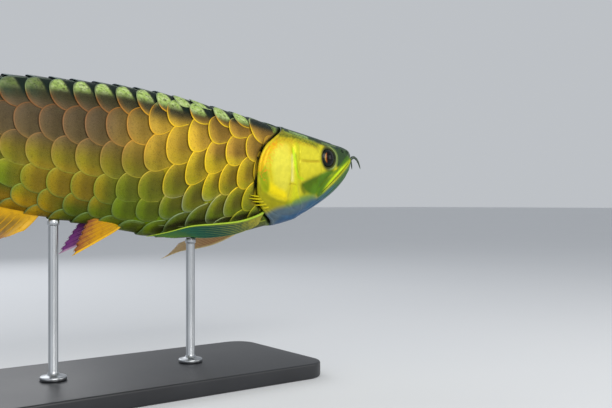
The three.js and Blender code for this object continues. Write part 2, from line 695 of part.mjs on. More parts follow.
// A round rod with a low flange at its foot, standing on the base and reaching into the belly.
function standRod(back) {
  const foot = STAND.thickness + GAP;
  const top = DATUM_Z + bellyLine(back) + 12;
  const r = STAND.rodRadius;
  const profile = [
    [0, foot], [11, foot], [11, foot + 3], [9.5, foot + 4.5], [r + 1, foot + 5], [r, foot + 6.5], [r, top],
    [0, top],
  ];
  const lathe = new THREE.LatheGeometry(profile.map(([out, z]) => new THREE.Vector2(out, z)), 14);
  lathe.rotateX(Math.PI / 2).translate(CHIN_X - back, 0, 0);
  return solidFromGeometry(lathe);
}

// Materials

const paint = (color, roughness, metalness = 0) =>
  new THREE.MeshStandardMaterial({ color, roughness, metalness });
const materials = {
  scales: paint(0x8a7a2a, 0.35, 0.2),
  head: paint(0xc9c02c, 0.3, 0.15),
  eye: paint(0x141414, 0.08),
  paleFin: paint(0x6f8a4a, 0.4),
  warmFin: paint(0xc08a1c, 0.4),
  barbel: paint(0x1c2226, 0.5),
  base: paint(0x1a1a1a, 0.45),
  steel: paint(0xa8abad, 0.3, 1),
};

// Swings the tail gently sideways, as a swimming fish holds it.
function bent(geometry) {
  const position = geometry.attributes.position;
  for (let i = 0; i < position.count; i++) {
    const past = Math.max(0, CHIN_X - position.getX(i) - BEND_START);
    position.setY(i, position.getY(i) + BEND_RATE * past * past);
  }
  return geometry;
}

const fish = new THREE.Group();
function addNode(name, solid, material, swings = true) {
  const geometry = geometryOf(largest(solid));
  const mesh = new THREE.Mesh(swings ? bent(geometry) : geometry, material);
  mesh.name = name;
  fish.add(mesh);
}

const slab = (from, to) => prism([[from, 200], [to, 200], [to, -100], [from, -100]]);

// A neighbour moved by the gap along Y and Z, and also to the front and back: it cuts a seated piece.
const seat = (neighbour, y, z) =>
  [-1, 0, 1]
    .map((x) => neighbour.translate([x * GAP, y * GAP, z * GAP]))
    .reduce((all, one) => all.add(one));

const pieces = headPieces();
const body = scaledTrunk().intersect(behind(GAP / 2)).subtract(slab(TAIL_END, 700));
const trunk = body.subtract(slab(TAIL_FROM - GAP / 2, 700));
const tail = body.subtract(slab(-50, TAIL_FROM + GAP / 2));
const throat = headLoft(PLATE.high + GAP).intersect(frontOf(0));

addNode("head", pieces.head, materials.head);
addNode("lower_jaw", pieces.lowerJaw, materials.head);
addNode("gill_cover_left", pieces.coverLeft, materials.head);
addNode("gill_cover_right", pieces.coverRight, materials.head);
addNode("trunk", trunk, materials.scales);
addNode("tail", tail, materials.scales);
addNode("dorsal_fin", midFin(DORSAL).subtract(seat(tail, 0, 1)), materials.warmFin);
addNode("anal_fin", midFin(ANAL).subtract(seat(tail, 0, -1)), materials.warmFin);
addNode("caudal_fin", caudalFin().subtract(slab(400, TAIL_END + GAP)), materials.warmFin);
for (const [name, side, pectoral] of [
  ["left", 1, LEFT_PECTORAL],
  ["right", -1, RIGHT_PECTORAL],
]) {
  const flank = seat(trunk, side * 0.7, -0.7);
  addNode("pectoral_fin_" + name, pairedFin(pectoral).subtract(flank).subtract(throat), materials.paleFin);
  addNode("pelvic_fin_" + name, pairedFin(pelvic(side)).subtract(flank), materials.warmFin);
  addNode("eye_" + name, eyeBall(side, 0), materials.eye);
  addNode("barbel_" + name, barbel(side).subtract(throat), materials.barbel);
}
addNode("stand_base", standBase(), materials.base, false);
STAND.rodBacks.forEach((back, i) =>
  addNode(
    "stand_rod_" + ["front", "rear"][i],
    standRod(back).subtract(seat(trunk, 0, -1)),
    materials.steel,
    false,
  ),
);

export default fish;
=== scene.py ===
"""Asian arowana at life size on a plain display stand: its skin, scales, fins, eyes and finish.

Sizes in the classes are millimetres. Along the fish they are counted back from the chin tip, and
heights are counted from the fish's own level line. Meshes are made in metres, in the part's frame.
"""

from __future__ import annotations

import json
import logging
import math
from dataclasses import dataclass, field
from enum import Enum
from typing import Any, Callable, Iterator, Sequence

import bpy
import numpy as np
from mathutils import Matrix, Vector

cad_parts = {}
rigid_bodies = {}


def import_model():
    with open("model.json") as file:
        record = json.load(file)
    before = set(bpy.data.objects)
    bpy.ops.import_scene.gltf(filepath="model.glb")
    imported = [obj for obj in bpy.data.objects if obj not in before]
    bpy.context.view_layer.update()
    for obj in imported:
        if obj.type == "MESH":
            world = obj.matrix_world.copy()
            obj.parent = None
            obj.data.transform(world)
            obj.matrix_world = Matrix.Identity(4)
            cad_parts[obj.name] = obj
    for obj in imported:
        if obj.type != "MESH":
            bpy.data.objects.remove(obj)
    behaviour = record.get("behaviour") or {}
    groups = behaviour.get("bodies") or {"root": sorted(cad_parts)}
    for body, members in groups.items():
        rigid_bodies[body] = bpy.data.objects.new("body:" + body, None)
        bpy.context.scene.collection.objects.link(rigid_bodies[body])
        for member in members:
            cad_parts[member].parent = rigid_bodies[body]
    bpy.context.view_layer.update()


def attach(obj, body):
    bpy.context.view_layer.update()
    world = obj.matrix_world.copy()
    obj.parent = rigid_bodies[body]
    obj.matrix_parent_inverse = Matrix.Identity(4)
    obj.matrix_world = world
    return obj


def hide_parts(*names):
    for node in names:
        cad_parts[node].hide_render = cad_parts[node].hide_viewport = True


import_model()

LOG = logging.getLogger("arowana")
MM = 0.001
CHIN_X = 250.0
LEVEL_Z = 160.0
TAIL_END = 500.5
BEND_START = 300.0
BEND_RATE = 0.00031
BAKE_MAP = "OFBake"
FAR = 1e9
TINY = 1e-12
BOTH_SIDES = ((1, "left"), (-1, "right"))

Points = np.ndarray
Pairs = Sequence[Sequence[float]]
Face = tuple[int, ...]
Mask = Callable[[Points, Points, Points], Points]


# Curves and measures


class Profile:
    """A smooth curve through stations that keeps each rise and fall of the values given."""

    def __init__(self, pairs: Pairs) -> None:
        """Args: pairs: [place, value] stations in rising order."""
        self.x, self.y = np.array(pairs, float).T
        step = np.diff(self.y) / np.diff(self.x)
        self.slope = np.concatenate([step[:1], np.zeros(len(step) - 1), step[-1:]])
        product, total = step[:-1] * step[1:], step[:-1] + step[1:]
        keeps = product > 0
        self.slope[1:-1][keeps] = 2 * product[keeps] / total[keeps]

    def __call__(self, at: Points | float) -> Points:
        """Returns: the curve's value at each place."""
        x = np.clip(at, self.x[0], self.x[-1])
        i = np.clip(np.searchsorted(self.x, x, side="right") - 1, 0, len(self.x) - 2)
        width = self.x[i + 1] - self.x[i]
        t = (x - self.x[i]) / width
        rise = t * t * (3 - 2 * t)
        start, end = t * (1 - t) ** 2 * width, t * t * (t - 1) * width
        return self.y[i] + (self.y[i + 1] - self.y[i]) * rise + self.slope[i] * start + self.slope[i + 1] * end


def smooth(value: Points, low: float, high: float) -> Points:
    """Returns: 0 below low and 1 above high, with a soft step between; the ends may be swapped."""
    t = np.clip((value - low) / (high - low), 0, 1)
    return t * t * (3 - 2 * t)


def eased_line(points: Pairs, steps: int = 8, closed: bool = False) -> Points:
    """Rounds a polyline off with a Catmull-Rom curve.

    Args:
        points: its corners.
        steps: pieces per side.
        closed: whether the last corner joins the first.
    Returns: the points of the rounded line.
    """
    p = np.array(points, float)
    ring = np.vstack([p[-1], p, p[0], p[1]]) if closed else np.vstack([2 * p[0] - p[1], p, 2 * p[-1] - p[-2]])
    t = np.linspace(0, 1, steps, endpoint=False)[:, None]
    sides = []
    for a, b, c, d in zip(ring, ring[1:], ring[2:], ring[3:]):
        sides.append(0.5 * (2 * b + (c - a) * t + (2 * a - 5 * b + 4 * c - d) * t**2 + (3 * b - a - 3 * c + d) * t**3))
    out = np.vstack(sides)
    return out if closed else np.vstack([out, p[-1:]])


def distance_to(line: Points, at: Points, closed: bool = False) -> tuple[Points, Points]:
    """Distance from points to a polyline.

    Args:
        line: the polyline.
        at: the points measured.
        closed: whether the line is a closed outline.
    Returns: the distances, and the share of the line's length at the nearest place.
    """
    ends = np.vstack([line[1:], line[:1]]) if closed else line[1:]
    starts = line if closed else line[:-1]
    lengths = np.linalg.norm(ends - starts, axis=1)
    run = np.concatenate([[0], np.cumsum(lengths)])
    best = np.full(len(at), FAR)
    share = np.zeros(len(at))
    for a, b, length, before in zip(starts, ends, lengths, run):
        side = b - a
        t = np.clip((at - a) @ side / max(length * length, TINY), 0, 1)
        gap = np.hypot(at[:, 0] - a[0] - t * side[0], at[:, 1] - a[1] - t * side[1])
        near = gap < best
        best[near] = gap[near]
        share[near] = (before + t[near] * length) / run[-1]
    return best, share


def depth_inside(outline: Points, at: Points) -> Points:
    """Returns: how deep each point lies inside a closed outline, negative outside it."""
    gap, _ = distance_to(outline, at, closed=True)
    inside = np.zeros(len(at), bool)
    for a, b in zip(outline, np.roll(outline, -1, axis=0)):
        crosses = (a[1] > at[:, 1]) != (b[1] > at[:, 1])
        reach = a[0] + (at[:, 1] - a[1]) * (b[0] - a[0]) / (b[1] - a[1] if b[1] != a[1] else TINY)
        inside ^= crosses & (at[:, 0] < reach)
    return np.where(inside, gap, -gap)


def linear(code: str) -> Points:
    """Returns: the linear colour of a six-digit web colour."""
    c = np.array([int(code[i : i + 2], 16) / 255 for i in (0, 2, 4)])
    return np.where(c <= 0.04045, c / 12.92, ((c + 0.055) / 1.055) ** 2.4)


def down_share(girth: Points) -> Points:
    """Returns: 0 at the back's midline to 1 at the belly's, for a place round the body."""
    return 1 - np.abs(1 - 2 * np.mod(girth, 1))


def side_view(back: Points, up: Points) -> Points:
    """Returns: [back, up] rows."""
    return np.stack([back, up], axis=-1)


def gap_to(spot: Sequence[float], back: Points, up: Points, stretch: float = 1.0) -> Points:
    """Returns: the distance from a spot on the side view, with the way along the fish stretched."""
    return np.hypot((back - spot[0]) * stretch, up - spot[1])


# Body shape


@dataclass(frozen=True)
class Body:
    """The bare body: its profiles, and places on its surface."""

    back_line: Pairs = (
        (0, 46), (0.6, 50), (1.8, 54), (4.5, 57.3), (30, 62.8), (64, 69.8), (104, 78.2), (147, 87),
        (188, 94.7), (231, 101), (275, 104), (326, 104.8), (361, 103.4), (400, 95), (438, 83), (470, 77),
        (505, 76.5),
    )
    belly_line: Pairs = (
        (0, 46), (0.8, 40.5), (4, 33), (14, 21), (32, 7), (61, -8.7), (78, -16), (104, -21.8),
        (140, -26.5), (188, -31), (231, -28.7), (265, -21), (326, -11), (361, -1.5), (400, 15), (446, 32),
        (470, 35.5), (505, 35.5),
    )
    half_width: Pairs = (
        (0, 0.4), (1.5, 4.4), (5, 8.1), (14, 13.0), (30, 17.6), (50, 21), (80, 25), (120, 28.2), (180, 30),
        (240, 29), (326, 23.5), (400, 15), (450, 9.6), (480, 7.4), (505, 6.2),
    )
    upper_power: Pairs = ((0, 2.2), (20, 2.9), (60, 3.2), (110, 2.7), (170, 2.35), (300, 2.15), (505, 2.1))
    lower_power: Pairs = ((0, 2), (40, 2), (100, 1.9), (180, 1.7), (330, 1.65), (420, 1.8), (505, 2.1))
    widest_share: Pairs = ((0, 0.45), (60, 0.4), (120, 0.42), (200, 0.45), (505, 0.5))
    end: float = 525.0
    stations: int = 1500
    shares: int = 201
    front_bias: float = 1.8
    section_points: int = 121
    tables: dict[str, Points] = field(default_factory=dict)

    def __post_init__(self) -> None:
        """Measures the half-sections once."""
        back = self.end * np.linspace(0, 1, self.stations) ** self.front_bias
        top, bottom = Profile(self.back_line)(back), Profile(self.belly_line)(back)
        wide = Profile(self.half_width)(back)
        middle = top - (top - bottom) * Profile(self.widest_share)(back)
        turn = np.linspace(0, math.pi, self.section_points)
        upper = turn <= math.pi / 2
        power = 2 / np.where(upper, Profile(self.upper_power)(back)[:, None], Profile(self.lower_power)(back)[:,
            None])
        side = wide[:, None] * np.abs(np.sin(turn)) ** power
        side[:, [0, -1]] = 0
        reach = np.abs(np.cos(turn)) ** power
        rise = middle[:, None] + np.where(upper, (top - middle)[:, None], (bottom - middle)[:, None]) * reach
        run = np.cumsum(np.hypot(np.diff(side, axis=1), np.diff(rise, axis=1)), axis=1)
        run = np.hstack([np.zeros((len(back), 1)), run])
        at = np.linspace(0, 1, self.shares)
        sides, ups = np.empty((len(back), self.shares)), np.empty((len(back), self.shares))
        for i, length in enumerate(run[:, -1]):
            sides[i] = np.interp(at, run[i] / length, side[i])
            ups[i] = np.interp(at, run[i] / length, rise[i])
        self.tables.update(side=sides, up=ups, length=run[:, -1], back=back)

    def half_girth(self, back: Points) -> Points:
        """Returns: the way round one side, from the back's midline to the belly's."""
        return np.interp(back, self.tables["back"], self.tables["length"])

    def section(self, back: Points, girth: Points) -> tuple[Points, Points]:
        """Places on the bare body.

        Args:
            back: distance behind the chin tip.
            girth: 0 at the back's midline, down the left side, 1 at the back's midline again.
        Returns: the sideways place, left being positive, and the height.
        """
        girth = np.mod(girth, 1)
        row = (np.clip(back, 0, self.end) / self.end) ** (1 / self.front_bias) * (self.stations - 1)
        column = down_share(girth) * (self.shares - 1)
        i = np.clip(row.astype(int), 0, self.stations - 2)
        j = np.clip(column.astype(int), 0, self.shares - 2)
        a, b = row - i, column - j
        side, up = (
            (t[i, j] * (1 - a) + t[i + 1, j] * a) * (1 - b) + (t[i, j + 1] * (1 - a) + t[i + 1, j + 1] * a) * b
            for t in (self.tables["side"], self.tables["up"])
        )
        return np.where(girth <= 0.5, side, -side), up

    def spot(self, back: Points, girth: Points) -> Points:
        """Returns: places on the bare body as [back, side, up] rows."""
        back, girth = np.broadcast_arrays(np.asarray(back, float), np.asarray(girth, float))
        side, up = self.section(back, girth)
        return np.stack([back, side, up], axis=-1)

    def outward(self, back: Points, girth: Points) -> Points:
        """Returns: unit normals of the bare body as [back, side, up] rows."""
        back, girth = np.broadcast_arrays(np.asarray(back, float), np.asarray(girth, float))
        reach = np.clip(back * 0.4, 0.05, 2.0)
        along = self.spot(back + reach, girth) - self.spot(back - reach, girth)
        around = self.spot(back, girth + 0.008) - self.spot(back, girth - 0.008)
        normal = np.cross(along, around)
        return normal / np.maximum(np.linalg.norm(normal, axis=-1, keepdims=True), TINY)

    def lifted(self, back: Points, girth: Points, lift: Points | float) -> Points:
        """Returns: places off the bare body by the lift along its normal, as [back, side, up] rows."""
        return self.spot(back, girth) + self.outward(back, girth) * np.asarray(lift, float)[..., None]

    def share_at(self, back: Points, up: Points) -> Points:
        """Returns: the share of the half-girth at which the side has the given height."""
        table = self.tables["up"]
        row = np.searchsorted(self.tables["back"], back).clip(0, self.stations - 1)
        grid = np.linspace(0, 1, self.shares)
        return np.array([np.interp(-u, -table[r], grid) for r, u in zip(row, np.broadcast_to(up, row.shape))])

    def side_at(self, back: float, up: float) -> float:
        """Returns: the half-width at one height of one section."""
        share = self.share_at(np.array([back]), np.array([up]))
        return float(abs(self.section(np.array([back]), share / 2)[0][0]))


def in_frame(spots: Points, bends: bool = True) -> Points:
    """Turns [back, side, up] rows into the part's frame.

    Args:
        spots: places in millimetres.
        bends: whether they swing with the tail.
    Returns: places in metres.
    """
    back, side, up = np.moveaxis(np.asarray(spots, float), -1, 0)
    past = np.maximum(0, back - BEND_START) if bends else 0
    return np.stack([CHIN_X - back, side + BEND_RATE * past * past, up + LEVEL_Z], axis=-1) * MM


# Head forms: relief and markings share these side outlines, as [back, up] points

GILL_LINE: Pairs = (
    (-50, 98), (-26, 101), (-17, 108), (-10, 118), (0, 128), (15, 133.4), (32, 134.3), (44, 131.5),
    (56, 124), (64.5, 112), (72, 101), (82, 95), (100, 90),
)
MOUTH_LINE: Pairs = ((0.5, 51.6), (4, 48.6), (12, 42.2), (30, 27.4), (51.5, 10.5))
EYE_SPOT = (43.0, 46.6)
NOSTRIL_SPOTS: Pairs = ((11.5, 54.0), (20.0, 54.5))
NOSTRIL_STRETCH = 0.8


def gill_back(body: Body, share: Points) -> Points:
    """Returns: where the gill opening crosses each place down the side."""
    low, high = np.full(np.shape(share), 80.0), np.full(np.shape(share), 139.0)
    line = Profile(GILL_LINE)
    for _ in range(36):
        middle = (low + high) / 2
        ahead = middle < line(body.section(middle, share / 2)[1])
        low, high = np.where(ahead, middle, low), np.where(ahead, high, middle)
    return (low + high) / 2


def gill_reach(share: Points) -> Points:
    """Returns: 1 along the gill opening, and 0 over the nape and under the throat, where it ends."""
    return smooth(share, 0.05, 0.15) * smooth(share, 0.985, 0.93)


@dataclass(frozen=True)
class Plate:
    """A raised or sunk field with a rounded outline."""

    outline: Pairs
    height: float
    soft: float = 1.2

    def mask(self, at: Points) -> Points:
        """Returns: 1 well inside the outline, 0 outside, soft between."""
        return smooth(depth_inside(eased_line(self.outline, 6, closed=True), at), -self.soft / 2, self.soft / 2)


@dataclass(frozen=True)
class Stroke:
    """A ridge or groove along a line, fading at its ends."""

    line: Pairs
    height: float
    width: float
    fade: float = 0.12

    def mask(self, at: Points) -> Points:
        """Returns: 1 on the line, falling off to its sides and at its ends."""
        gap, share = distance_to(eased_line(self.line, 6), at)
        ends = smooth(share, 0, self.fade) * smooth(share, 1, 1 - self.fade) if self.fade else 1.0
        return np.exp(-((gap / self.width) ** 2)) * ends


class Place(Enum):
    """Named fields of the head."""

    OPERCLE = ((94, 54), (101, 61), (112, 59), (123, 49), (127.5, 32), (125, 17), (113, 9.5), (99, 5), (95.5, 14),
        (94, 35))
    PREOPERCLE = ((83.5, 58), (88.5, 59), (89, 40), (90, 20), (91, 4), (84, -4), (73, -5), (78, 4), (83.5, 16),
        (85, 38))
    CHEEK_HIGH = ((55.5, 46), (57.5, 52), (62, 58), (70, 60.5), (82, 60.5), (82.8, 52), (83, 43.5), (70, 43),
        (58, 43.5))
    CHEEK_LOW = ((54, 32), (55.5, 41.5), (70, 41.5), (83, 42), (83, 32), (81.5, 22), (70, 23.5), (59, 27))
    CHEEK_FRONT = ((30, 35), (36, 33), (46, 32), (54, 30), (58, 25), (56, 17), (46, 27), (34, 32))
    MAXILLA = ((9, 49), (14, 49.5), (28, 38), (44, 24.5), (54, 14.5), (55.5, 9), (51, 8.5), (38, 21), (22, 34.5),
        (10, 44))
    LOWER_LIP = ((0, 49), (6, 45), (20, 33.8), (36, 20.6), (50, 9.4), (53, 5.5), (48, 4.5), (32, 16), (16, 28),
        (0, 40))
    JAW_MUSCLE = ((56, 12), (58, 24), (70, 21), (82, 19), (83, 12), (77, 2), (68, -4), (60, 0))
    INTEROPERCLE = ((74, -7), (85, -6), (93, 1), (104, 4), (113, 6), (122, 12), (128, 8), (122, -2), (108, -12),
        (92, -16), (78, -14))
    SKULL = ((26, 66), (34, 61), (48, 60.5), (60, 64), (80, 66), (96, 68), (110, 84), (60, 76), (26, 66))


@dataclass(frozen=True)
class HeadForms:
    """The bones, folds and slits of the head, as relief over the bare body."""

    plates: tuple[Plate, ...] = (
        Plate(Place.OPERCLE.value, 0.75, 2.6), Plate(Place.PREOPERCLE.value, 0.45, 1.5),
        Plate(Place.CHEEK_HIGH.value, 0.55, 1.4), Plate(Place.CHEEK_LOW.value, 0.6, 1.4),
        Plate(Place.CHEEK_FRONT.value, 0.35, 1.4), Plate(Place.MAXILLA.value, 0.95, 2.2),
        Plate(Place.LOWER_LIP.value, 0.85, 2.6), Plate(Place.JAW_MUSCLE.value, -0.35, 4.0),
        Plate(Place.INTEROPERCLE.value, 0.4, 2.0), Plate(Place.SKULL.value, 0.35, 2.0),
    )
    strokes: tuple[Stroke, ...] = (
        Stroke(((84, 60), (87.6, 56), (88.2, 40), (87.4, 22), (84, 10), (76, 1), (70, -3)), 0.75, 1.5),
        Stroke(((91.6, 62), (91.8, 40), (92.6, 16), (95, 3)), -0.9, 0.8),
        Stroke(((82, 61), (83.4, 48), (83.4, 32), (82, 21), (76, 9)), -0.6, 0.7),
        Stroke(((54, 42.6), (62, 42.4), (72, 42.2), (83, 42.8)), -0.55, 0.5),
        Stroke(((96, 3.5), (106, 7), (116, 8), (124, 13)), -0.5, 0.7),
        Stroke(((86, -6), (98, 0), (112, 2.5), (126, 6)), -0.45, 0.6),
        Stroke(((60, -4), (74, -9), (90, -11), (106, -9), (120, -2)), -0.5, 0.7),
        Stroke(((2, 37), (18, 25), (34, 13), (50, 2), (62, -6), (68, -14)), -0.5, 0.8),
        Stroke(((58, 60), (70, 63), (84, 64.5), (96, 66)), 0.45, 1.0),
        Stroke(((30, 60), (40, 58.6), (52, 59), (60, 61.5)), 0.5, 1.1),
        Stroke(((22, 43), (30, 37.4), (40, 30.6), (50, 23), (56, 16)), -0.5, 0.6),
        Stroke(((24, 60), (16, 57.5), (8, 55)), -0.35, 0.8),
    )
    throat_rays: int = 7
    throat_lift: float = 0.5
    throat_width: float = 0.9
    eye_rim: Pairs = ((0, -5.5), (7.2, -5.2), (8.6, -2.6), (9.5, 0.1), (10.3, 0.95), (11.4, 0.75), (13, 0.15),
        (16, 0))
    nostril_rim: Pairs = ((0, -1.7), (0.8, -1.4), (1.3, 0.1), (1.8, 0.7), (2.6, 0.3), (4, 0))
    mouth_depth: float = 2.3
    mouth_width: float = 0.55
    lip_roll: float = 0.55
    lip_place: float = 2.2
    lip_width: float = 1.3
    eye_clear: tuple[float, float] = (14.5, 10.5)
    tip_fade: tuple[float, float] = (-2.0, 13.0)

    def relief(self, back: Points, up: Points) -> Points:
        """Args: back, up: places on the side view. Returns: the lift over the bare body there."""
        at = side_view(back, up)
        lift = np.zeros(len(at))
        for form in self.plates + self.strokes:
            lift += form.height * form.mask(at)
        for i in range(self.throat_rays):
            share = i / (self.throat_rays - 1)
            line = (
                (66 + 4 * share, -13 - 5 * share), (90, -13.5 - 9 * share),
                (112, -6 - 14 * share), (127, 2 - 12 * share))
            lift += self.throat_lift * Stroke(line, 1, self.throat_width).mask(at)
        mouth, share = distance_to(eased_line(MOUTH_LINE, 8), at)
        open_part = smooth(share, 1.0, 0.93)
        lift += self.lip_roll * np.exp(-(((mouth - self.lip_place) / self.lip_width) ** 2)) * open_part
        lift *= smooth(back, *self.tip_fade)
        lift -= self.mouth_depth * np.exp(-((mouth / self.mouth_width) ** 2)) * open_part
        eye = gap_to(EYE_SPOT, back, up)
        lift = lift * (1 - smooth(eye, *self.eye_clear)) + Profile(self.eye_rim)(eye)
        for spot in NOSTRIL_SPOTS:
            lift += Profile(self.nostril_rim)(gap_to(spot, back, up, NOSTRIL_STRETCH))
        return lift


@dataclass(frozen=True)
class Wash:
    """One coat of colour laid over what is there."""

    colour: str
    strength: float
    where: Mask


def field_of(outline: Pairs, soft: float) -> Mask:
    """Returns: a mask for a side outline with soft edges."""
    return lambda back, share, up: Plate(outline, 1, soft).mask(side_view(back, up))


def line_of(line: Pairs, width: float) -> Mask:
    """Returns: a mask for a soft line on the side view."""
    return lambda back, share, up: Stroke(line, 1, width).mask(side_view(back, up))


def band_of(backs: Sequence[float], shares: Sequence[float]) -> Mask:
    """Returns: a mask that rises and falls between four places along the fish and four down its side."""
    return lambda back, share, up: (
        smooth(back, backs[0], backs[1]) * smooth(back, backs[3], backs[2])
        * smooth(share, shares[0], shares[1]) * smooth(share, shares[3], shares[2])
    )


def ring_of(radius: float, outer: float, inner: float, fade: tuple[float, float]) -> Mask:
    """Returns: a mask for an arc round the eye, fading towards its rear."""
    return lambda back, share, up: (
        smooth(np.abs(gap_to(EYE_SPOT, back, up) - radius), outer, inner) * smooth(back, *fade))


def speckled(mask: Mask, least: float) -> Mask:
    """Args: mask: a mask. least: what is left of it between the specks. Returns: it broken into specks."""

    def broken(back: Points, share: Points, up: Points) -> Points:
        waves = np.sin(back * 1.31 + 1.7 * np.sin(up * 0.83)) * np.sin(up * 1.57 + 1.4 * np.sin(back * 0.61))
        return mask(back, share, up) * (least + (1 - least) * smooth(waves, -0.35, 0.35))

    return broken


